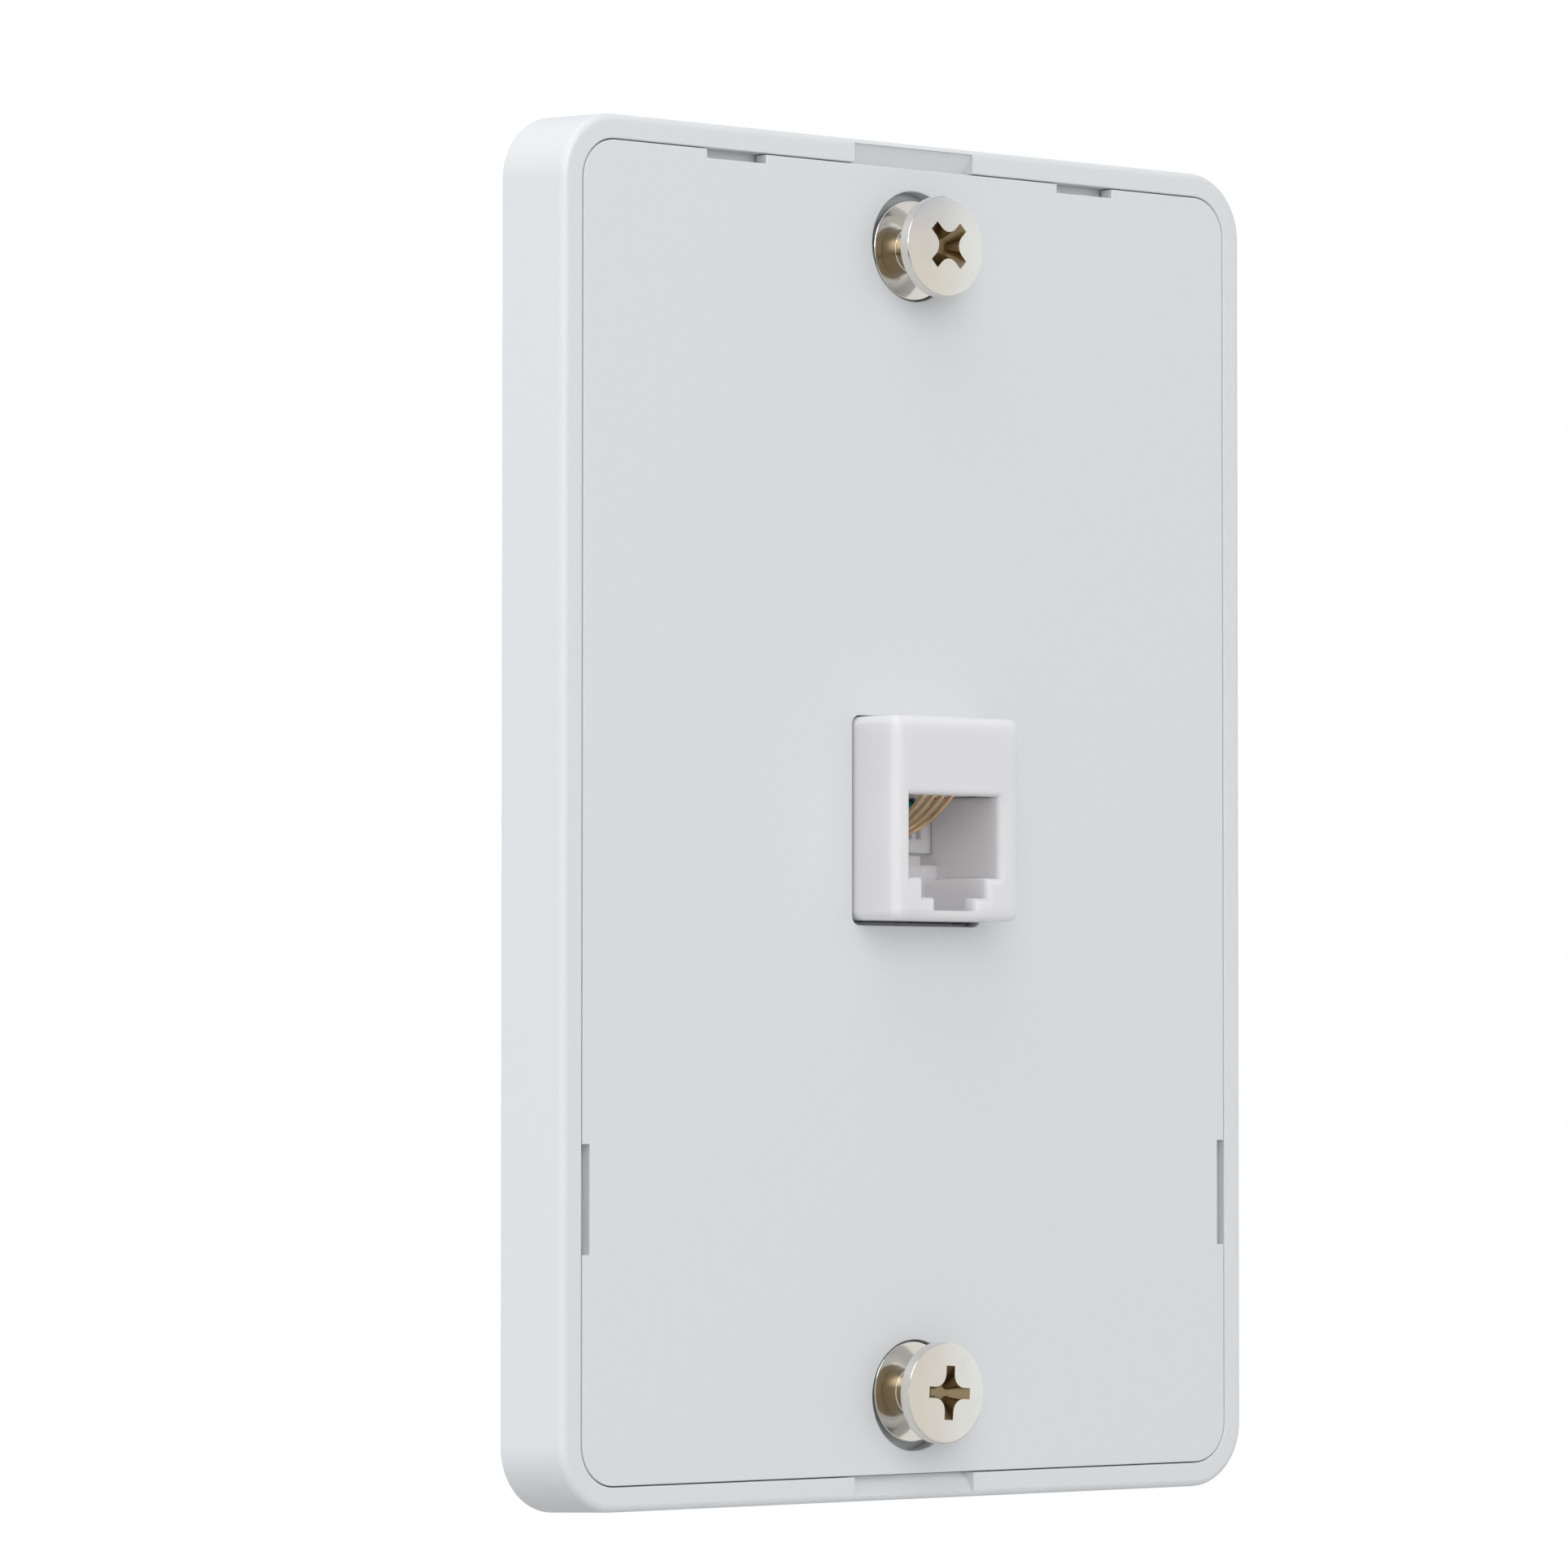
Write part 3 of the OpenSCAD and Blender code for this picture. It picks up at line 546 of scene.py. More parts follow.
@dataclass
class Shading:
    """A node tree that is being built."""

    tree: bpy.types.NodeTree

    def feed(self, node: Node, name: str | int, value: object) -> None:
        """Links a socket to a node's input, or sets the input to a value.

        Args:
            node: the node to feed.
            name: the name or number of its input.
            value: a socket or a plain value.
        """
        if isinstance(value, Socket):
            self.tree.links.new(value, node.inputs[name])
        else:
            node.inputs[name].default_value = value

    def add(self, kind: str, inputs: dict, **settings: object) -> Node:
        """Adds a node, sets its properties, and sets or links its inputs.

        Args:
            kind: the node's type.
            inputs: what each input gets, by name or number.
            settings: the node's own properties.

        Returns:
            The node.
        """
        node = self.tree.nodes.new(kind)
        for name, value in settings.items():
            setattr(node, name, value)
        for name, value in inputs.items():
            self.feed(node, name, value)
        return node

    def ramp(self, value: Socket, span: Flat, levels: Flat, way: str = "LINEAR") -> Socket:
        """Maps a span of a value onto a span of levels, and holds the last level beyond.

        Args:
            value: what is mapped.
            span: where the value starts and ends.
            levels: what comes out at those two.
            way: how it goes from one to the other.

        Returns:
            The level.
        """
        inputs = {"Value": value, "From Min": span[0], "From Max": span[1]}
        inputs |= {"To Min": levels[0], "To Max": levels[1]}
        return self.add("ShaderNodeMapRange", inputs, interpolation_type=way).outputs["Result"]

    def soft_step(self, value: Socket, span: Flat, top: float = 1.0) -> Socket:
        """A smooth rise from 0 to a top level over a span of a value."""
        return self.ramp(value, span, (0.0, top), "SMOOTHSTEP")

    def maths(self, way: str, *values: object) -> Socket:
        """Works out one sum of numbers and sockets."""
        return self.add("ShaderNodeMath", dict(enumerate(values)), operation=way).outputs["Value"]

    def blend(self, share: Socket, first: object, second: object) -> Socket:
        """Mixes two colours by a share from 0 to 1."""
        inputs = {"Factor": share, "A": first, "B": second}
        return self.add("ShaderNodeMix", inputs, data_type="RGBA").outputs["Result"]

    def noise(self, place: Socket, size: float, detail: float) -> Socket:
        """Noise with clouds of a size in millimetres."""
        inputs = {"Vector": place, "Scale": 1 / (size * MM), "Detail": detail}
        return self.add("ShaderNodeTexNoise", inputs).outputs["Fac"]

    def emboss(self, shader: Node, height: Socket, strength: float, depth: float) -> None:
        """Bumps the skin by a height, to a depth in millimetres."""
        inputs = {"Height": height, "Strength": strength, "Distance": depth * MM}
        self.feed(shader, "Normal", self.add("ShaderNodeBump", inputs).outputs["Normal"])


@dataclass(frozen=True)
class Finish:
    """A surface: what it is made of and how it was made, as its shader shows it."""

    name: str
    colour: str
    roughness: float
    ior: float = 1.5
    metallic: float = 0.0
    glow: float = 0.0  # share of light that enters and spreads before it leaves
    glow_reach: float = 0.8  # mm

    def start(self) -> tuple[Material, Shading, Node, Socket]:
        """Starts the material, with its own values on the shader's sockets.

        Returns:
            The material, its node tree, its shader and the Object coordinates.
        """
        material = bpy.data.materials.new(self.name)
        material.use_nodes = True
        material.node_tree.nodes.clear()
        tree = Shading(material.node_tree)
        values = {"Base Color": linear(self.colour), "Roughness": self.roughness, "Metallic": self.metallic}
        if not self.metallic:
            values["IOR"] = self.ior
        if self.glow:
            values |= {"Subsurface Weight": self.glow, "Subsurface Scale": self.glow_reach * MM}
            values["Subsurface Radius"] = (1, 1, 1)
        shader = tree.add("ShaderNodeBsdfPrincipled", values)
        tree.add("ShaderNodeOutputMaterial", {"Surface": shader.outputs["BSDF"]})
        return material, tree, shader, tree.add("ShaderNodeTexCoord", {}).outputs["Object"]

    def make(self) -> Material:
        """Builds the material."""
        return self.start()[0]


@dataclass(frozen=True)
class MouldedPlastic(Finish):
    """Plastic from a fine spark-eroded mould: an even satin skin, a few trapped specks and faint scuffs."""

    grain: float = 0.35  # mm between the skin's bumps
    grain_height: float = 0.004  # mm
    cloud: float = 18.0  # mm across the clouds in the gloss
    speck: str = "#6E6A66"
    speck_space: float = 16.0  # mm between trapped specks
    speck_edge: Flat = (0.006, 0.012)  # where a speck fades, as a share of that
    hair: Point = (22.0, 9.0, 0.8)  # mm that a hair mark is drawn out along its own axes
    hair_slant: float = 0.9  # radians
    hair_edge: Flat = (0.735, 0.76)  # only the noise above this shows
    scuffs: float = 0.5

    def make(self) -> Material:
        """Builds the material: uneven gloss, skin bumps, specks and scuffs.

        Returns:
            The material.
        """
        material, tree, shader, place = self.start()
        # Long thin hair marks, from noise drawn out along a slanted direction
        inputs = {"Rotation": (0.0, self.hair_slant, 0.0), "Scale": [1 / (size * MM) for size in self.hair]}
        slanted = tree.add("ShaderNodeMapping", {"Vector": place, **inputs}).outputs["Vector"]
        inputs = {"Vector": slanted, "Scale": 1.0, "Detail": 1.0, "Distortion": 0.4}
        hair = tree.add("ShaderNodeTexNoise", inputs).outputs["Fac"]
        hair_line = tree.soft_step(hair, self.hair_edge, self.scuffs)
        # Trapped specks: the middles of scattered cells, half of them left out
        cells = tree.add("ShaderNodeTexVoronoi", {"Vector": place, "Scale": 1 / (self.speck_space * MM)})
        dot = tree.ramp(cells.outputs["Distance"], self.speck_edge, (1.0, 0.0))
        chance = tree.add("ShaderNodeSeparateColor", {"Color": cells.outputs["Color"]}).outputs["Red"]
        specks = tree.maths("MULTIPLY", dot, tree.maths("GREATER_THAN", chance, 0.5))
        tree.feed(shader, "Base Color", tree.blend(specks, linear(self.colour), linear(self.speck)))
        # Clouds make the gloss uneven, and a hair mark dulls it
        cloud = tree.noise(place, self.cloud, 2.0)
        gloss = tree.ramp(cloud, (0.0, 1.0), (self.roughness - 0.05, self.roughness + 0.05))
        tree.feed(shader, "Roughness", tree.maths("MULTIPLY_ADD", hair_line, 0.3, gloss))
        # The eroded mould leaves bumps that break the highlights up
        tree.emboss(shader, tree.noise(place, self.grain, 3.0), 0.35, self.grain_height)
        return material


@dataclass(frozen=True)
class PlatedMetal(Finish):
    """Plated or machined metal: bright, with faint clouds of tarnish and fine drawing or turning marks."""

    metallic: float = 1.0
    marks: float = 0.12  # mm between the fine marks
    mark_height: float = 0.0012  # mm
    cloud: float = 2.2  # mm across the clouds of tarnish
    tarnish: str = "#8F7F66"
    tarnish_share: float = 0.12
    recess: str = "#A08F70"  # painted shade: the brown that marked recess and neck faces get

    def make(self) -> Material:
        """Builds the material: tarnish clouds, painted shade on marked faces, uneven gloss and fine marks.

        Returns:
            The material.
        """
        material, tree, shader, place = self.start()
        # Tarnish gathers in the thick of the clouds, and marked faces get painted shade, brown and dull
        cloud = tree.noise(place, self.cloud, 3.0)
        share = tree.ramp(cloud, (0.45, 0.8), (0.0, self.tarnish_share))
        body = tree.blend(share, linear(self.colour), linear(self.tarnish))
        marked = tree.add("ShaderNodeAttribute", {}, attribute_name="painted_shade").outputs["Fac"]
        tree.feed(shader, "Base Color", tree.blend(marked, body, linear(self.recess)))
        gloss = tree.ramp(cloud, (0.0, 1.0), (self.roughness - 0.04, self.roughness + 0.06))
        tree.feed(shader, "Roughness", tree.maths("MULTIPLY_ADD", marked, 0.2, gloss))
        # Drawing and turning leave fine marks that soften the mirror
        tree.emboss(shader, tree.noise(place, self.marks, 2.0), 0.3, self.mark_height)
        return material


def extruded_pvc(name: str, colour: str) -> MouldedPlastic:
    """A lead's insulation: clean colour, waxy gloss."""
    return MouldedPlastic(f"{name}_pvc", colour, 0.35, 1.53, grain=0.2, speck=colour, scuffs=0.2)


INSULATION = {"black": "#17171A", "red": "#B3211F", "green": "#149C8A", "yellow": "#E0B41E"}
FINISHES = {
    # Cool white, smooth and satin: broad soft highlights
    "white_plastic": MouldedPlastic("satin_white_abs", "#E1E4E6", 0.42, 1.53),
    # The same white from a polished mould: a little glossier, and thin enough to glow
    "white_jack_plastic": MouldedPlastic(
        "polished_white_abs", "#E7E6E8", 0.33, 1.53, glow=1.0, glow_reach=1.2, speck_space=30.0
    ),
    # Warm mirror, with painted brown shade on marked recesses and necks
    "nickel_plated_steel": PlatedMetal("bright_nickel_plate", "#E6E3DD", 0.09, tarnish_share=0.06),
    # Drawn spring wire under a thin gold flash
    "gold_plated_wire": PlatedMetal(
        "gold_flash_wire", "#F2D3A6", 0.13, marks=0.08, tarnish="#8A5F34", tarnish_share=0.25
    ),
    # Soft grey metal with a dull bloom
    "tinned_copper": PlatedMetal("tinned_copper", "#C9C6BF", 0.3, tarnish="#8C877C", tarnish_share=0.3),
    # Bare brass from a lathe, browned in clouds
    "brass": PlatedMetal("machined_brass", "#CFA85A", 0.25, tarnish="#8A6A34", tarnish_share=0.35),
    **{f"{name}_insulation": extruded_pvc(name, colour) for name, colour in INSULATION.items()},
}
MADE: dict[str, Material] = {}


def hand_over(piece: Object, name: str, slot: str, body: str, *nodes: str) -> None:
    """Scales a finished piece to metres, dresses it, and puts it in place of its nodes.

    Args:
        piece: the piece, modelled in millimetres in place.
        name: the name that it gets.
        slot: the record's material slot, which also names its finish.
        body: the body that it rides on.
        nodes: the nodes that it stands for.
    """
    pick(piece)
    piece.scale = (MM, MM, MM)
    bpy.ops.object.transform_apply(location=True, rotation=True, scale=True)
    piece.name = piece.data.name = name
    if slot not in MADE:
        MADE[slot] = FINISHES[slot].make()
    piece.data.materials.clear()
    piece.data.materials.append(MADE[slot])
    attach(piece, body)
    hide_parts(*nodes)
    LOG.info("%s: %d faces, %s, on %s", name, len(piece.data.polygons), slot, body)


# ---- places shared by the pieces


@dataclass(frozen=True)
class Levels:
    """Levels along Y, from the front to the back."""

    before_jack: float = -14.0  # where the cutter of the plug opening starts
    jack: float = -12.9
    head: float = -11.65
    jack_inside: float = -11.4
    outside: float = -9.0  # where cutters of the frame and panel start
    front: float = -7.6
    before_floor: float = -7.0  # where cutters of the floor alone start
    flange_back: float = -6.95
    panel_back: float = -6.3
    floor: float = -5.9
    behind_panel: float = -5.0  # where cutters of the panel end
    stop: float = -4.9
    floor_back: float = -3.9
    insert: float = -3.6
    nut: float = -3.5
    behind_floor: float = -3.0  # where cutters of the floor end
    nut_back: float = -1.5
    insert_back: float = 0.8
    barrel: float = 1.5
    jack_back: float = 3.0
    behind_jack: float = 4.0  # where cutters of the jack end


@dataclass(frozen=True)
class JackFace:
    """Where the jack's four sides are, for the jack and for the openings round it."""

    left: float = -6.78
    right: float = 7.35
    bottom: float = -8.6
    top: float = 8.5


@dataclass(frozen=True)
class Catches:
    """Where the panel's four spring arms catch: two at the top edge, and one at either side."""

    x: float = 19.6
    z: float = -31.7
    edge_x: float = 35.21
    edge_z: float = 54.26


AT = Levels()
FACE = JackFace()
CATCH = Catches()


def at_level(level: float, slack: float = 0.02) -> EdgeTest:
    """A test for edges that lie at one level of Y."""
    return lambda a, b: abs(a.y - level) < slack and abs(b.y - level) < slack


# ---- base frame


@dataclass
class BaseFrame:
    """The moulded frame: side walls and rim, floor, bosses, posts, ribs and the arms that hold the jack."""

    width: float = 76.2
    height: float = 114.3
    corner: float = 5.5
    draft: float = 0.3
    rim: float = 2.04
    rim_round: float = 0.6
    seam_round: float = 0.14
    wall: float = 1.8
    notch_half: float = 6.65
    notch_lip: float = 0.4
    notch_past: float = 0.6  # past the seam
    notch_start: float = -7.35
    notch_end: float = -6.4
    notch_round: float = 0.1
    window_depth: float = 2.2
    window_half: Flat = (3.6, 4.9)
    pad: Flat = (27.06, 46.11)
    pad_half: Flat = (1.0, 5.0)
    rib: Flat = (26.8, 28.0)
    rib_half: float = 0.6
    rib_reach: float = 55.9
    rib_back: float = -1.0
    stud_z: float = 48.15
    stud_bore: float = 1.72
    boss_r: float = 3.7
    nut_wall: float = 8.15
    nut_pocket: float = 6.55
    post_r: float = 4.0
    insert_bore: float = 2.7
    box_z: float = 41.67
    box_bore: float = 2.1
    box_sink: float = 3.6
    jack_gap: Flat = (0.09, 0.15)
    arm: Point = (7.95, 8.75, 10.05)  # hook, inner face and outer face
    arm_lip: float = 1.55
    arm_flat: float = 0.3
    arm_tip: float = 1.2
    arm_half: float = 4.0

    def from_edge(self, point: Vector) -> float:
        """How far inside the front outline a point lies.

        Args:
            point: the point.

        Returns:
            The distance, up to the radius of the corners.
        """
        u = max(abs(point.x) - self.width / 2 + self.corner, 0)
        v = max(abs(point.z) - self.height / 2 + self.corner, 0)
        return self.corner - math.hypot(u, v) if u and v else self.corner - max(u, v)

    def shell(self) -> Object:
        """The tray: walls with draft, front pocket and rear hollow, with round corners and soft front
        edges.

        Returns:
            The tray, without what stands on its floor.
        """
        w, h = self.width / 2, self.height / 2
        piece = block((-w, AT.front, -h), (w, 0, h))
        round_edges(piece, lambda a, b: abs(a.y - b.y) > 1, self.corner, 14)
        for vertex in piece.data.vertices:
            if vertex.co.y > -0.01:
                vertex.co.x *= 1 + self.draft / w
                vertex.co.z *= 1 + self.draft / h
        sink_face(piece, AT.front, self.rim, AT.floor - AT.front)
        sink_face(piece, 0, self.wall + self.draft, AT.floor_back)
        level = at_level(AT.front)
        outer = lambda a, b: level(a, b) and max(self.from_edge(a), self.from_edge(b)) < 0.1
        inner = lambda a, b: level(a, b) and min(self.from_edge(a), self.from_edge(b)) > 1.5
        round_edges(piece, outer, self.rim_round, 6)
        round_edges(piece, inner, self.seam_round, 3)
        return piece

    def notch_span(self) -> Flat:
        """Where a notch starts and ends in Z, past the seam and short of the rim's edge."""
        return self.height / 2 - self.rim - self.notch_past, self.height / 2 - self.notch_lip

    def notches(self) -> list[Object]:
        """Cutters for the two screwdriver ramps in the rim.

        Returns:
            The cutter at the top and the one at the bottom.
        """
        inner, edge = self.notch_span()
        seam = self.height / 2 - self.rim
        deep = [(self.notch_end, seam), (self.notch_end, inner), (AT.outside, inner)]
        ramp = [(AT.outside, edge), (self.notch_start, edge), *deep]
        both = [ramp, [(y, -z) for y, z in ramp]]
        return [prism(outline, Lay.X, -self.notch_half, self.notch_half) for outline in both]

    def on_notch(self, point: Vector) -> bool:
        """Whether a point lies on a notch.

        Args:
            point: the point.

        Returns:
            True if it does.
        """
        inner, edge = self.notch_span()
        along = inner - SLACK < abs(point.z) < edge + SLACK
        return along and abs(point.x) < self.notch_half + SLACK and point.y < self.notch_end + SLACK

    def windows(self) -> list[Object]:
        """Cutters for the four windows that let the spring arms through the floor.

        Returns:
            Two cutters at the top and one at each side.
        """
        wide, tall = self.window_half
        x, z, depth = CATCH.edge_x, CATCH.edge_z, self.window_depth
        front, back = AT.before_floor, AT.behind_floor
        top = [block((s * CATCH.x - wide, front, z - depth), (s * CATCH.x + wide, back, z)) for s in SIDES]
        low, high = CATCH.z - tall, CATCH.z + tall
        return top + [block((s * x, front, low), (s * (x - depth), back, high)) for s in SIDES]

    def raised(self) -> list[Object]:
        """Pads, ribs, bosses, posts and snap arms, to be welded to the floor.

        Returns:
            The pieces, each sunk a little way into the floor.
        """
        top, root = AT.floor + SUNK, AT.floor_back - SUNK
        (x, z), (wide, tall) = self.pad, self.pad_half
        places = [(u, v) for u in (-x, x) for v in (-z, 0, z)]
        parts = [block((u - wide, AT.panel_back, v - tall), (u + wide, top, v + tall)) for u, v in places]
        (x, z), half, reach = self.rib, self.rib_half, self.rib_reach
        parts += [block((u - half, root, -reach), (u + half, self.rib_back, reach)) for u in (-x, x)]
        parts += [block((-x, root, v - half), (x, self.rib_back, v + half)) for v in (-z, z)]
        for z in (-self.stud_z, self.stud_z):
            parts.append(rod((0, z), AT.flange_back, top, self.boss_r, 64))
            parts.append(prism(hexagon(self.nut_wall, (0, z)), Lay.Y, root, AT.nut_back))
        parts += [rod(c.terminal, root, AT.insert_back, self.post_r, 64) for c in Circuit]
        hook, inner, outer = self.arm
        lip = AT.floor_back + self.arm_lip
        arm = [
            (inner, root), (outer, root), (outer, lip + self.arm_tip), (inner, lip + self.arm_tip),
            (hook, lip + self.arm_flat), (hook, lip), (inner, lip),
        ]
        halves = [[(s * x, y) for x, y in arm] for s in SIDES]
        return parts + [prism(half, Lay.Z, -self.arm_half, self.arm_half) for half in halves]

    def bores(self) -> list[Object]:
        """Cutters for the jack, the studs and nuts, the box screws and the inserts.

        Returns:
            The cutters.
        """
        side, end = self.jack_gap
        low = (FACE.left - side, AT.outside, FACE.bottom - end)
        cutters = [block(low, (FACE.right + side, AT.behind_floor, FACE.top + end))]
        for z in (-self.stud_z, self.stud_z):
            cutters.append(rod((0, z), AT.outside, AT.nut + 0.5, self.stud_bore))
            cutters.append(prism(hexagon(self.nut_pocket, (0, z)), Lay.Y, AT.nut, 0.5))
        for z in (-self.box_z, self.box_z):
            cutters.append(rod((0, z), AT.outside, AT.behind_floor, self.box_bore))
            cutters.append(rod((0, z), AT.outside, AT.floor, self.box_sink))
        return cutters + [rod(c.terminal, AT.insert, 2, self.insert_bore) for c in Circuit]

    def build(self) -> None:
        """Builds the frame and hands it over."""
        piece = weld(self.shell(), *self.raised())
        carve(piece, *self.notches(), *self.windows(), *self.bores())
        round_edges(piece, lambda a, b: self.on_notch(a) and self.on_notch(b), self.notch_round, 2)
        smooth(piece)
        hand_over(piece, "wall_frame", "white_plastic", ROOT_BODY, "base_frame")


# ---- front panel


@dataclass
class FrontPanel:
    """The snap-in front panel with its spring arms."""

    size: Flat = (71.92, 110.02)
    corner: float = 3.36
    edge_round: float = 0.11
    stud_hole_z: float = 48.45
    stud_hole_r: float = 4.66
    jack_gap: Point = (0.13, 0.4, 0.1)  # at the sides, below and above
    jack_corner: float = 0.8
    slot_half: Flat = (3.2, 4.5)
    arm_half: Flat = (2.8, 4.1)
    arm_t: float = 1.0
    arm_end: float = -2.7
    hook: float = 0.7
    hook_front: float = -3.8
    hook_t: float = 0.3

    def openings(self) -> list[Object]:
        """Cutters for the stud holes, the jack and the four slots at the edge.

        Returns:
            The cutters, which all pass right through the panel.
        """
        front, back = AT.outside, AT.behind_panel
        holes = [rod((0, s * self.stud_hole_z), front, back, self.stud_hole_r, 96) for s in SIDES]
        side, below, above = self.jack_gap
        low, high = (FACE.left - side, FACE.bottom - below), (FACE.right + side, FACE.top + above)
        size = [b - a for a, b in zip(low, high)]
        middle = [(a + b) / 2 for a, b in zip(low, high)]
        holes.append(prism(rounded_box(size, self.jack_corner, middle), Lay.Y, front, back))
        x, z, (wide, tall) = CATCH.edge_x, CATCH.edge_z, self.slot_half
        for s in SIDES:
            holes.append(block((s * CATCH.x - wide, front, z), (s * CATCH.x + wide, back, z + 2)))
            holes.append(block((s * x, front, CATCH.z - tall), (s * (x + 2), back, CATCH.z + tall)))
        return holes

    def build_panel(self) -> None:
        """Builds the plate with its holes and edge slots, all front edges soft."""
        piece = prism(rounded_box(self.size, self.corner, steps=14), Lay.Y, AT.front, AT.panel_back)
        carve(piece, *self.openings())
        round_edges(piece, at_level(AT.front), self.edge_round, 3)
        smooth(piece)
        hand_over(piece, "snap_in_panel", "white_plastic", "panel", "front_panel")

    def build_arm(self, middle: float, edge: float, half: float, spin: float) -> Object:
        """Builds one spring arm along X at the top edge, and turns it round Y to its own edge.

        Args:
            middle: its place along the edge, before it is turned.
            edge: how far out the edge is.
            half: half its length.
            spin: how far it is turned, in degrees.

        Returns:
            The arm.
        """
        face = edge - SUNK
        back, tip = face - self.arm_t, face + self.hook
        shape = [
            (AT.panel_back, back), (AT.panel_back, face), (self.hook_front, face), (self.hook_front, tip),
            (self.hook_front + self.hook_t, tip), (self.arm_end, edge - self.hook_t), (self.arm_end, back),
        ]
        arm = prism(shape, Lay.X, middle - half, middle + half)
        arm.rotation_euler = (0, math.radians(spin), 0)
        pick(arm)
        bpy.ops.object.transform_apply(location=False, rotation=True, scale=False)
        return arm

    def build_arms(self) -> None:
        """Builds the four spring arms with their hooks."""
        wide, tall = self.arm_half
        arms = [self.build_arm(x, CATCH.edge_z, wide, 0) for x in (CATCH.x, -CATCH.x)]
        arms += [self.build_arm(-s * CATCH.z, CATCH.edge_x, tall, s * 90) for s in (1, -1)]
        piece = join(arms)
        ease(piece, 0.1)
        smooth(piece)
        hand_over(piece, "panel_spring_arms", "white_plastic", "panel", "panel_catches")


# ---- line jack


@dataclass
class LineJack:
    """The raised line jack: housing, contact carrier, contact wires and splices."""

    edge: float = 0.8
    face_step: float = 0.04
    flange: Flat = (17.2, 20.5)
    flange_corner: float = 1.0
    flange_t: float = 1.5
    mouth_edge: float = 0.6
    mouth_top: float = 1.9
    mouth_half: Point = (5.0, 3.6, 2.2)  # the opening, its step and its latch channel
    mouth_low: Point = (-5.0, -6.7, -7.8)
    chamber_half: float = 5.4
    chamber_top: float = 7.4
    stop_top: float = -3.75
    stop_half: float = 3.5
    stop_back: float = -3.0
    tongue_half: float = 3.2
    tray: float = 2.0
    tray_half: float = 5.3
    tray_back: float = 2.8
    nose: Flat = (-10.0, 2.6)
    nose_r: float = 0.6
    rib: Point = (0.17, 2.4, 3.7)  # half its width, its length and its top
    comb: Flat = (-4.1, -3.1)
    comb_span: Flat = (-2.72, 0.75)
    comb_half: float = 4.99
    comb_leg: float = 4.0
    comb_slot: Point = (0.25, -1.5, 1.75)  # half its width, its lower and its upper end
    clamp: float = 1.6
    clamp_top: float = 7.1
    clamp_hole: Flat = (0.75, 0.65)
    wire: float = 0.5
    wire_end: float = -2.9
    wire_turn: Point = (90.0, 180.0, 230.0)  # degrees round the nose: start, hinge and end
    bend: float = 0.87
    wire_pitch: float = 1.02
    splice_pitch: float = 2.4
    splice_y: float = -3.0
    splice_z: float = 3.95
    splice_r: float = 0.7
    pinched_r: float = 0.58

    def mouth(self, grow: float) -> list[Flat]:
        """The stepped outline of the plug opening, grown by a width on every side but the lowest.

        Args:
            grow: the width.

        Returns:
            The outline's points.
        """
        (wide, step, slim), (shoulder, ledge, foot) = self.mouth_half, self.mouth_low
        corners = [(wide, self.mouth_top), (wide, shoulder), (step, shoulder), (step, ledge)]
        corners += [(slim, ledge), (slim, foot)]
        signs = [1, -1, -1, -1, -1, 0]
        grown = [(x + grow, z + grow * sign) for (x, z), sign in zip(corners, signs)]
        return grown + [(-x, z) for x, z in reversed(grown)]

    def chambers(self) -> list[Object]:
        """Cutters for the plug opening with its flared mouth, the latch channel and the chambers.

        Returns:
            The cutters.
        """
        (wide, step, _), (shoulder, _, foot) = self.mouth_half, self.mouth_low
        front, stop, back, chamber = AT.jack_inside, AT.stop, AT.behind_jack, self.chamber_half
        turns = [math.pi / 2 * k / 6 for k in range(7)]
        flare = [(self.mouth_edge * (1 - math.sin(a)), self.mouth_edge * (1 - math.cos(a))) for a in turns]
        mouth = [(AT.jack + depth, self.mouth(grow)) for grow, depth in flare]
        tongue, roof = self.tongue_half, self.stop_top + SUNK
        return [
            loft([(AT.before_jack, mouth[0][1]), *mouth, (front + 0.3, mouth[-1][1])], Lay.Y),
            block((-wide, front, shoulder), (wide, stop, self.tray)),
            block((-step, front, foot), (step, stop, 0)),
            block((-wide, stop - 1, self.stop_top), (wide, back, self.tray)),
            block((-wide, self.stop_back, foot), (wide, back, self.tray)),
            block((-chamber, front, self.tray - SUNK), (chamber, back, self.chamber_top)),
            block((-tongue, stop - SUNK, foot), (tongue, stop + 0.15, roof)),
        ]

    def build_housing(self) -> None:
        """Builds the housing with its stepped plug opening, latch channel, stops and chamber."""
        face = AT.jack + self.face_step
        piece = block((FACE.left, face, FACE.bottom), (FACE.right, AT.jack_back, FACE.top))
        rim = at_level(face)
        round_edges(piece, lambda a, b: abs(a.y - b.y) > 1 or rim(a, b), self.edge, 6)
        sink_face(piece, face, 0.02, -self.face_step)
        flange = rounded_box(self.flange, self.flange_corner, (0, (FACE.top + FACE.bottom) / 2))
        weld(piece, prism(flange, Lay.Y, AT.floor_back, AT.floor_back + self.flange_t))
        carve(piece, *self.chambers())
        low = (-self.stop_half, AT.stop + 0.5, self.stop_top - 0.5)
        weld(piece, block(low, (self.stop_half, self.stop_back, self.stop_top + 0.8)))
        smooth(piece)
        hand_over(piece, "jack_shell", "white_jack_plastic", ROOT_BODY, "jack_housing")

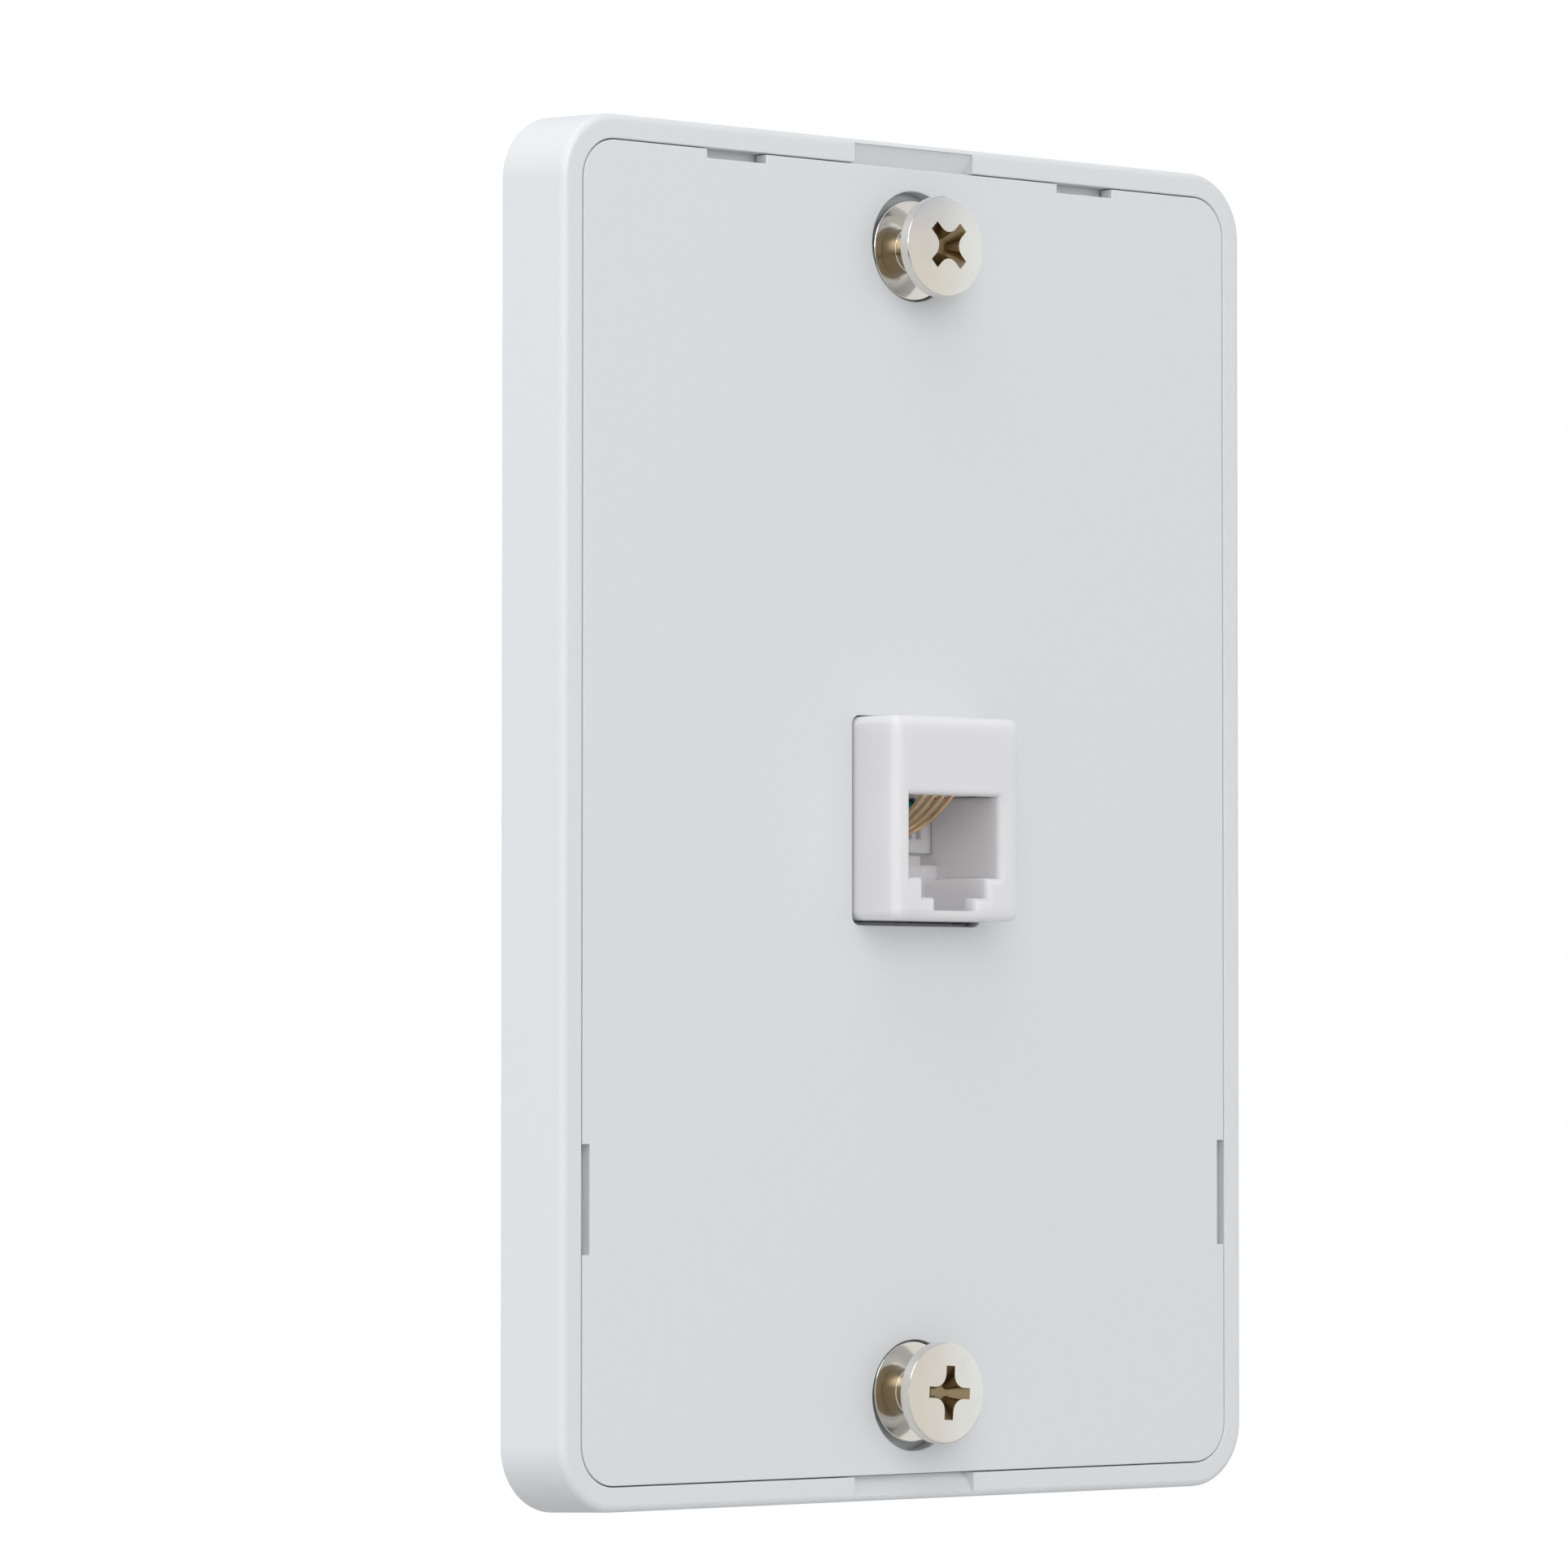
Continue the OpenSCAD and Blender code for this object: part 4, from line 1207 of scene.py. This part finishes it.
    def build_carrier(self) -> None:
        """Builds the tray with its round nose, wire ribs, comb and lead clamp."""
        (y, z), half = self.nose, self.tray_half
        top = z + self.nose_r
        nose = arc((y, z), self.nose_r, 90, 270, 12)
        piece = prism([(self.tray_back, self.tray), (self.tray_back, top), *nose], Lay.X, -half, half)
        rib, length, crest = self.rib
        middles = [k * self.wire_pitch for k in range(-2, 3)]
        parts = [block((x - rib, y, top - SUNK), (x + rib, y + length, crest)) for x in middles]
        (front, back), (low, high) = self.comb, self.comb_span
        parts.append(block((-self.comb_half, front, low), (self.comb_half, back, high)))
        parts.append(block((-half, self.clamp, self.tray), (half, self.tray_back, self.clamp_top)))
        tall = self.tray + SUNK
        for s in SIDES:
            parts.append(block((s * self.comb_leg, front, low), (s * self.comb_half, back, tall)))
        weld(piece, *parts)
        slot, low, high = self.comb_slot
        middles = [(k - 3.5) * self.wire_pitch for k in range(8)]
        cutters = [block((x - slot, front - 0.9, low), (x + slot, back + 1.1, high)) for x in middles]
        hole, mouth = self.clamp_hole
        front, back, z = self.clamp - 0.6, self.tray_back + 0.6, self.splice_z
        for x in (c.across(self.splice_pitch) for c in Circuit):
            cutters.append(rod((x, z), front, back, hole, 24))
            cutters.append(block((x - mouth, front, z), (x + mouth, back, 9)))
        carve(piece, *cutters)
        ease(piece, 0.06, 1)
        smooth(piece)
        hand_over(piece, "contact_tray", "white_jack_plastic", ROOT_BODY, "contact_carrier")

    def nose_bend(self, x: float, start: float, end: float) -> list[Point]:
        """The bend of a wire round the nose of the tray, between two angles."""
        return [(x, y, z) for y, z in arc(self.nose, self.bend, start, end, 9)]

    def build_fixed_wire(self, c: Circuit) -> None:
        """Builds the part of a contact wire that lies on the tray, from its splice to the nose.

        Args:
            c: the circuit of the wire.
        """
        x0, x1, z1 = c.across(self.wire_pitch), c.across(self.splice_pitch), self.splice_z
        z0 = self.nose[1] + self.bend
        start, hinge, _ = self.wire_turn
        knots = [
            (x1, self.splice_y, z1), (x1, -3.8, z1), (x0 + (x1 - x0) * 0.8, -4.6, (z1 + z0) / 2),
            (x0, -7.2, z0), (x0, -8.6, z0),
        ]
        piece = drawn_tube(flowing(knots) + self.nose_bend(x0, start, hinge), self.wire)
        smooth(piece, 60)
        name = f"wire_on_tray_{c.label}"
        hand_over(piece, name, "gold_plated_wire", ROOT_BODY, f"contact_wire_{c.label}")

    def build_free_wire(self, c: Circuit) -> None:
        """Builds the springy end of a contact wire, which bows back from the nose to the comb.

        Args:
            c: the circuit of the wire.
        """
        x = c.across(self.wire_pitch)
        _, hinge, end = self.wire_turn
        bent = self.nose_bend(x, hinge, end)
        _, y, z = bent[-1]
        slope, run = -1 / math.tan(math.radians(end - hinge)), self.wire_end - y
        reach = [run * k / 24 for k in range(1, 25)]
        bow = [(x, y + u, z + slope * u - slope / (2 * run) * u * u) for u in reach]
        piece = drawn_tube(bent + bow, self.wire)
        smooth(piece, 60)
        name = f"wire_free_end_{c.label}"
        hand_over(piece, name, "gold_plated_wire", f"contact_{c.label}", f"contact_spring_{c.label}")

    def build_splices(self) -> None:
        """Builds the four splices, each pinched twice by the crimping tool."""
        r, pinched = self.splice_r, self.pinched_r
        profile = [(0, 0), (0.5, 0), (0.62, 0.08), (r, 0.2)]
        for h in (0.55, 1.48):  # where a pinch starts
            profile += [(r, h), (pinched, h + 0.17), (pinched, h + 0.4), (r, h + 0.57)]
        profile += [(r, 2.4), (0.62, 2.52), (0.5, 2.6), (0, 2.6)]
        places = [(c.across(self.splice_pitch), self.splice_y, self.splice_z) for c in Circuit]
        piece = join([turned(profile, place, (0, 1, 0), 32) for place in places])
        smooth(piece, 40)
        hand_over(piece, "crimped_splices", "tinned_copper", ROOT_BODY, "crimp_splices")


# ---- terminals and leads


# The leads' routes between their splices and their lugs
SHORT_ROUTE = [(3.7, 3.8, 4.9), (3.9, 4.3, 6.6), (4.2, 3.9, 9.1), (4.9, 2.8, 11.5), (6.3, 1.8, 12.8)]
ROUTES: dict[Circuit, list[Point]] = {
    Circuit.BLACK: [(-x, y, z) for x, y, z in SHORT_ROUTE],
    Circuit.RED: [
        (-1.4, 3.9, 3.2), (-2.2, 4.4, 1), (-3.4, 4.4, -2.5), (-4.6, 4.2, -6.5), (-5.4, 3.5, -10.2),
        (-6.2, 2, -12.4),
    ],
    Circuit.GREEN: [
        (1.5, 3.9, 3.3), (2.3, 4, 1.8), (3.1, 2.6, 1.2), (3.6, 0.8, 1.2), (4.1, -0.9, 1.35),
        (4.3, -2.0, 1.3), (4.2, -2.3, 0.4), (4.0, -2.0, -0.6), (3.9, -1.0, -1.2), (3.9, 1, -1.5),
        (4.2, 3.2, -2.8), (4.8, 4.1, -6), (5.3, 3.6, -9.8), (6.1, 2.1, -12.3),
    ],
    Circuit.YELLOW: SHORT_ROUTE,
}


@dataclass
class Terminal:
    """One screw terminal at the back: its lead, fork lug, washer and screw."""

    circuit: Circuit
    lead: float = 1.2
    lead_end: float = 8.0
    lug: float = 0.8
    washer: float = 1.4
    head: float = 2.2
    head_t: float = 1.8
    fork_r: float = 3.4
    fork_gap: float = 2.05
    shank: Flat = (4.9, 1.0)
    barrel_start: float = 4.3
    barrel_length: float = 3.7
    barrel_r: float = 1.0
    pinched_r: float = 0.84
    washer_side: float = 7.2
    washer_corner: float = 0.5
    washer_bore: float = 1.83
    thread: Flat = (3.5, 0.794)
    thread_length: float = 5.5
    recess: CrossRecess = CrossRecess((1.8, 0.9, 0.5), (0.72, 0.6, 0.2))
    recess_level: float = 0.5
    slot: Flat = (4.0, 0.5)  # half its length, past the head, and half its width
    slot_level: float = 0.9

    def build_lead(self, splice_x: float, splice_z: float) -> None:
        """Builds the insulated lead from its splice to its lug.

        Args:
            splice_x: where its splice lies in X.
            splice_z: where its splice lies in Z.
        """
        (x, z), side = self.circuit.terminal, self.circuit.side
        start = [(splice_x, y, splice_z) for y in (-0.4, 0.6, 2.2)]
        x -= side * self.lead_end
        end = [(x - side, AT.barrel, z), (x, AT.barrel, z)]
        piece = drawn_tube(flowing([*start, *ROUTES[self.circuit], *end], 8), self.lead, 5)
        smooth(piece, 60)
        label = self.circuit.label
        hand_over(piece, f"insulated_lead_{label}", f"{label}_insulation", ROOT_BODY, f"lead_{label}")

    def build_lug(self) -> None:
        """Builds the stamped fork with its crimped barrel."""
        (x, z), side, gap = self.circuit.terminal, -self.circuit.side, self.fork_gap
        length, half = self.shank
        piece = rod((x, z), self.lug, self.washer, self.fork_r, 64)
        weld(piece, block((x, self.lug, z - half), (x + side * length, self.washer, z + half)))
        carve(piece, rod((x, z), 0, 3, gap, 48), block((x, 0, z - gap), (x - side * 7, 3, z + gap)))
        r, pinched, end = self.barrel_r, self.pinched_r, self.barrel_length
        pinch = [(r, 1.1), (pinched, 1.35), (pinched, 2.2), (r, 2.45)]
        barrel = [(0, 0), (0.8, 0), (r, 0.15), *pinch, (r, 3.5), (r, end), (0, end)]
        middle = (x + side * self.barrel_start, AT.barrel, z)
        weld(piece, turned(barrel, middle, (side, 0, 0), 32))
        ease(piece, 0.06)
        smooth(piece)
        label = self.circuit.label
        hand_over(piece, f"fork_and_barrel_{label}", "tinned_copper", ROOT_BODY, f"fork_lug_{label}")

    def build_washer(self) -> None:
        """Builds the square washer with its stamped, rolled edge."""
        middle, side = self.circuit.terminal, self.washer_side
        square = rounded_box((side, side), self.washer_corner, middle)
        piece = prism(square, Lay.Y, self.washer, self.head)
        carve(piece, rod(middle, 1, 3, self.washer_bore, 48))
        ease(piece, 0.12, 3)
        smooth(piece)
        label = self.circuit.label
        body, node = f"terminal_clamp_{label}", f"terminal_washer_{label}"
        hand_over(piece, f"square_washer_{label}", "nickel_plated_steel", body, node)

    def build_screw(self) -> None:
        """Builds the screw with its rounded head, cross recess, slot and thread."""
        (x, z), (reach, half), level, top = self.circuit.terminal, self.slot, self.head, self.head_t
        dome = [(3.3, 0.6), (3.24, 0.85), (3.02, 1.12), (2.6, 1.5), (2.2, 1.68), (1.9, top)]
        piece = turned([(0, 0), (3.3, 0), *dome, (0, top)], (x, level, z), (0, 1, 0), 64)
        thread = thread_profile(*self.thread, self.thread_length)
        weld(piece, turned(thread, (x, level, z), (0, -1, 0), 48))
        turn = 20 + 50 * self.circuit.value[0]
        spin = Matrix.Rotation(math.radians(turn), 2)
        corners = ((-reach, -half), (reach, -half), (reach, half), (-reach, half))
        slot = [tuple(spin @ Vector(p) + Vector((x, z))) for p in corners]
        recess = self.recess.cutter(turn, (x, z), level + top + 0.01, level + self.recess_level)
        carve(piece, recess, prism(slot, Lay.Y, level + self.slot_level, level + top + 0.2))
        ease(piece, 0.05, 1, 40)
        smooth(piece, 40)
        # Painted shade: the deep faces of the cross recess and the slot get the darker, duller colour
        low, high = level + self.recess_level - SLACK, level + self.slot_level + 0.2
        mark_painted_shade(piece, lambda p: low < p.y < high and math.dist((p.x, p.z), (x, z)) < 2.2)
        label = self.circuit.label
        name, node = f"binding_screw_{label}", f"terminal_screw_{label}"
        hand_over(piece, name, "brass", f"terminal_{label}", node)


def build_inserts() -> None:
    """Builds the four brass inserts, with a lead-in at each mouth."""
    length = AT.insert_back - AT.insert
    profile = [(1.83, 0), (2.5, 0), (2.6, 0.15), (2.6, length - 0.15), (2.5, length), (2.05, length)]
    profile.append((1.83, length - 0.2))
    places = [(c.terminal[0], AT.insert, c.terminal[1]) for c in Circuit]
    piece = join([turned(profile, place, (0, 1, 0), 48) for place in places])
    smooth(piece)
    hand_over(piece, "threaded_inserts", "brass", ROOT_BODY, "terminal_inserts")


# ---- studs


@dataclass
class KeyholeStud:
    """One stud that carries the telephone: screw, flanged spacer and nut."""

    place: str
    z: float
    turn: float
    recess_shift: Flat  # off the stud's middle
    head_r: float = 4.25
    head_t: float = 1.1
    lip: float = 0.12
    crown: float = 0.05
    neck_r: float = 1.9
    throat: float = 1.4
    painted_shade_from: float = 0.5  # below the head, where the painted shade on the neck starts
    thread: Flat = (2.84, 0.635)
    thread_end: float = 0.3  # past the nut
    recess: CrossRecess = CrossRecess((2.3, 0.95, 1.1), (0.95, 0.55, 0.35))
    recess_depth: float = 1.3
    flange_t: float = 0.4
    bore: float = 1.45
    soft: float = 0.1
    nut: float = 6.35
    nut_bore: float = 1.5
    nut_chamfer: float = 0.3

    def build_screw(self) -> None:
        """Builds the screw: a thin, faintly crowned head on a flared neck, its recess and its thread."""
        lip, r, t, crown, throat = self.lip, self.head_r, self.head_t, self.crown, self.throat
        face = [(u * (r - lip), -crown * u * u) for u in (0, 0.2, 0.4, 0.6, 0.8)]
        rim = arc((r - lip, -t + lip), lip, -90, 0, 5) + arc((r - lip, -lip - crown), lip, 0, 90, 5)
        flare = arc((self.neck_r + throat, -t - throat), throat, 90, 180, 14)
        profile = [*face, *reversed(rim), *flare, (0, -t - throat)]
        piece = turned(profile, (0, AT.head, self.z), (0, -1, 0), 96)
        seat = AT.head + t + throat
        thread = thread_profile(*self.thread, AT.nut_back + self.thread_end - seat)
        weld(piece, turned(thread, (0, seat, self.z), (0, 1, 0), 48))
        middle = (self.recess_shift[0], self.z + self.recess_shift[1])
        carve(piece, self.recess.cutter(self.turn, middle, AT.head - 0.01, AT.head + self.recess_depth))
        within = lambda p, far: math.hypot(p.x - middle[0], p.z - middle[1]) < far
        near, inside = self.recess.mouth[0] + 0.3, self.recess.mouth[0] - 0.2
        mouth = at_level(AT.head, 0.06)
        round_edges(piece, lambda a, b: mouth(a, b) and within(a, near) and within(b, near), 0.06, 2)
        smooth(piece, 40)
        # Painted shade: the neck behind the head and the inside of the recess get the darker, duller colour
        neck, low, high = AT.head + t + self.painted_shade_from, AT.head + 0.12, AT.head + self.recess_depth + 0.1
        mark_painted_shade(piece, lambda p: p.y > neck or (within(p, inside) and low < p.y < high))
        name = f"{self.place}_cross_screw"
        hand_over(piece, name, "nickel_plated_steel", self.place, f"{self.place}_screw")

    def build_spacer(self) -> None:
        """Builds the spacer: a flat polished flange with a short neck."""
        top = AT.flange_back - AT.head - self.head_t - self.throat
        r, t, lip, soft, neck = self.head_r, self.flange_t, self.lip, self.soft, self.neck_r
        rim = arc((r - soft, soft), soft, -90, 0, 4) + arc((r - lip, t - lip), lip, 0, 90, 6)
        foot = arc((neck + soft, t + soft), soft, 270, 180, 5)
        profile = [(self.bore, 0), *rim, *foot, (neck, top - 0.05), (neck - 0.05, top), (self.bore, top)]
        piece = turned(profile, (0, AT.flange_back, self.z), (0, -1, 0), 96)
        smooth(piece, 40)
        # Painted shade: the neck in front of the flange gets the darker, duller colour
        flange = AT.flange_back - t
        mark_painted_shade(piece, lambda p: p.y < flange - lip)
        name, body = f"{self.place}_flanged_sleeve", f"{self.place}_sleeve"
        hand_over(piece, name, "nickel_plated_steel", body, f"{self.place}_spacer")

    def build_nut(self) -> None:
        """Builds the hexagon nut with chamfered corners."""
        flat, t, chamfer = self.nut / 2, AT.nut_back - AT.nut, self.nut_chamfer
        reach = self.nut / math.cos(math.pi / 6) / 2 + 0.05
        piece = prism(hexagon(self.nut, (0, self.z)), Lay.Y, AT.nut, AT.nut_back)
        bound = [(0, 0), (flat, 0), (reach, chamfer), (reach, t - chamfer), (flat, t), (0, t)]
        combine(piece, [turned(bound, (0, AT.nut_back, self.z), (0, -1, 0), 96)], "INTERSECT")
        carve(piece, rod((0, self.z), AT.nut - 0.5, AT.nut_back + 0.5, self.nut_bore, 48))
        ease(piece, 0.05, 1)
        smooth(piece, 35)
        hand_over(piece, f"{self.place}_hex_nut", "brass", ROOT_BODY, f"{self.place}_nut")


# ---- studio


@dataclass(frozen=True)
class Lamp:
    """A square soft box: where it stands, its side in metres and its power in watts."""

    name: str
    place: Point
    side: float
    power: float
    glint: bool = False  # seen only as a highlight in polished metal


@dataclass(frozen=True)
class Room:
    """What reflections find round the part: colours, and where in X and Z each gives way to the next."""

    low: str = "#E8E4DC"
    high: str = "#CDD1DC"
    right: str = "#F8FCFF"
    corner: str = "#150E08"
    eye_level: Flat = (0.105, 0.15)
    right_edge: Flat = (0.64, 0.70)
    corner_x: Flat = (-0.02, -0.25)
    corner_z: Flat = (-0.05, -0.22)

    def shade(self, tree: Shading) -> Socket:
        """Creamy low down, grey above the eye, white on the right, and a dark corner low on the left.

        Args:
            tree: the world's node tree.

        Returns:
            The colour.
        """
        where = tree.add("ShaderNodeTexCoord", {}).outputs["Generated"]
        axes = tree.add("ShaderNodeSeparateXYZ", {"Vector": where}).outputs
        level = tree.soft_step(axes["Z"], self.eye_level)
        walls = tree.blend(level, linear(self.low), linear(self.high))
        walls = tree.blend(tree.soft_step(axes["X"], self.right_edge), walls, linear(self.right))
        left, below = tree.soft_step(axes["X"], self.corner_x), tree.soft_step(axes["Z"], self.corner_z)
        return tree.blend(tree.maths("MULTIPLY", below, left), walls, linear(self.corner))


@dataclass
class Studio:
    """Camera, soft boxes, surroundings and floor."""

    lens: float = 180.263
    sensor: float = 36.0
    camera_place: Point = (-0.438324, -0.503404, -0.022246)
    camera_right: Point = (0.760100, -0.649806, 0.000272)
    camera_up: Point = (-0.024965, -0.028784, 0.999274)
    camera_back: Point = (-0.649326, -0.759555, -0.038101)
    lamps: tuple[Lamp, ...] = (
        Lamp("right_softbox", (0.4, -1.2, 0.2), 1.0, 2.1),
        Lamp("camera_softbox", (-0.55, -1.1, 0.45), 1.0, 6.1),
        Lamp("left_softbox", (-1.25, 0.40, 0.75), 1.0, 8.9),
        Lamp("top_softbox", (-0.5, -0.3, 1.25), 1.0, 4.8),
        Lamp("back_softbox", (0.6, 1.2, 0.6), 1.0, 4.0),
        Lamp("window_glint", (-0.17, -0.30, 0.18), 0.2, 0.4, glint=True),
    )
    surroundings: float = 0.43
    floor_side: float = 0.9
    floor_z: float = -0.12
    floor_colour: str = "#C4C4C4"

    def build_camera(self) -> None:
        """Places the camera."""
        bpy.ops.object.camera_add()
        camera = bpy.context.object
        turn = Matrix((self.camera_right, self.camera_up, self.camera_back)).transposed().to_4x4()
        camera.matrix_world = Matrix.Translation(self.camera_place) @ turn
        camera.data.lens, camera.data.sensor_width = self.lens, self.sensor
        camera.data.clip_start = 0.01
        bpy.context.scene.camera = camera

    def build_lights(self) -> None:
        """Places the soft boxes."""
        for lamp in self.lamps:
            bpy.ops.object.light_add(type="AREA", location=lamp.place)
            light = bpy.context.object
            light.name = lamp.name
            light.data.size, light.data.energy = lamp.side, lamp.power
            light.visible_glossy, light.visible_diffuse = lamp.glint, not lamp.glint
            light.rotation_euler = Vector(lamp.place).to_track_quat("Z", "Y").to_euler()

    def build_surroundings(self) -> None:
        """Makes the surroundings: white where they are seen, and a room where they are mirrored."""
        world = bpy.data.worlds.new("white_surroundings")
        bpy.context.scene.world = world
        world.use_nodes = True
        world.node_tree.nodes.clear()
        tree = Shading(world.node_tree)
        path = tree.add("ShaderNodeLightPath", {}).outputs
        direct = tree.maths("MAXIMUM", path["Is Camera Ray"], path["Is Glossy Ray"])
        seen = tree.maths("MAXIMUM", direct, path["Is Transmission Ray"])
        level = tree.ramp(seen, (0.0, 1.0), (self.surroundings, 1.0))
        colour = tree.blend(path["Is Glossy Ray"], (1.0, 1.0, 1.0, 1.0), Room().shade(tree))
        sky = tree.add("ShaderNodeBackground", {"Color": colour, "Strength": level})
        tree.add("ShaderNodeOutputWorld", {"Surface": sky.outputs["Background"]})

    def build_floor(self) -> None:
        """Lays the pale floor."""
        bpy.ops.mesh.primitive_plane_add(size=self.floor_side, location=(0, 0, self.floor_z))
        floor = bpy.context.object
        floor.name = "studio_floor"
        floor.data.materials.append(Finish("pale_studio_paper", self.floor_colour, 0.8).make())


def main() -> None:
    """Builds the studio and every piece, in order."""
    logging.basicConfig(level=logging.INFO, format="%(message)s")
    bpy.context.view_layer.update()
    studio = Studio()
    studio.build_camera()
    base = BaseFrame()
    base.build()
    panel = FrontPanel()
    panel.build_panel()
    panel.build_arms()
    jack = LineJack()
    jack.build_housing()
    jack.build_carrier()
    jack.build_splices()
    for circuit in Circuit:
        jack.build_fixed_wire(circuit)
        jack.build_free_wire(circuit)
        terminal = Terminal(circuit)
        terminal.build_lead(circuit.across(jack.splice_pitch), jack.splice_z)
        terminal.build_lug()
        terminal.build_washer()
        terminal.build_screw()
    build_inserts()
    top = KeyholeStud("top_stud", base.stud_z, 45, (0.34, 0.12))
    for stud in (top, KeyholeStud("bottom_stud", -base.stud_z, -3.3, (0.36, 0.01))):
        stud.build_screw()
        stud.build_spacer()
        stud.build_nut()
    studio.build_lights()
    studio.build_surroundings()
    studio.build_floor()
    view = bpy.context.scene.view_settings
    view.view_transform = "Standard"


if __name__ == "__main__":
    main()
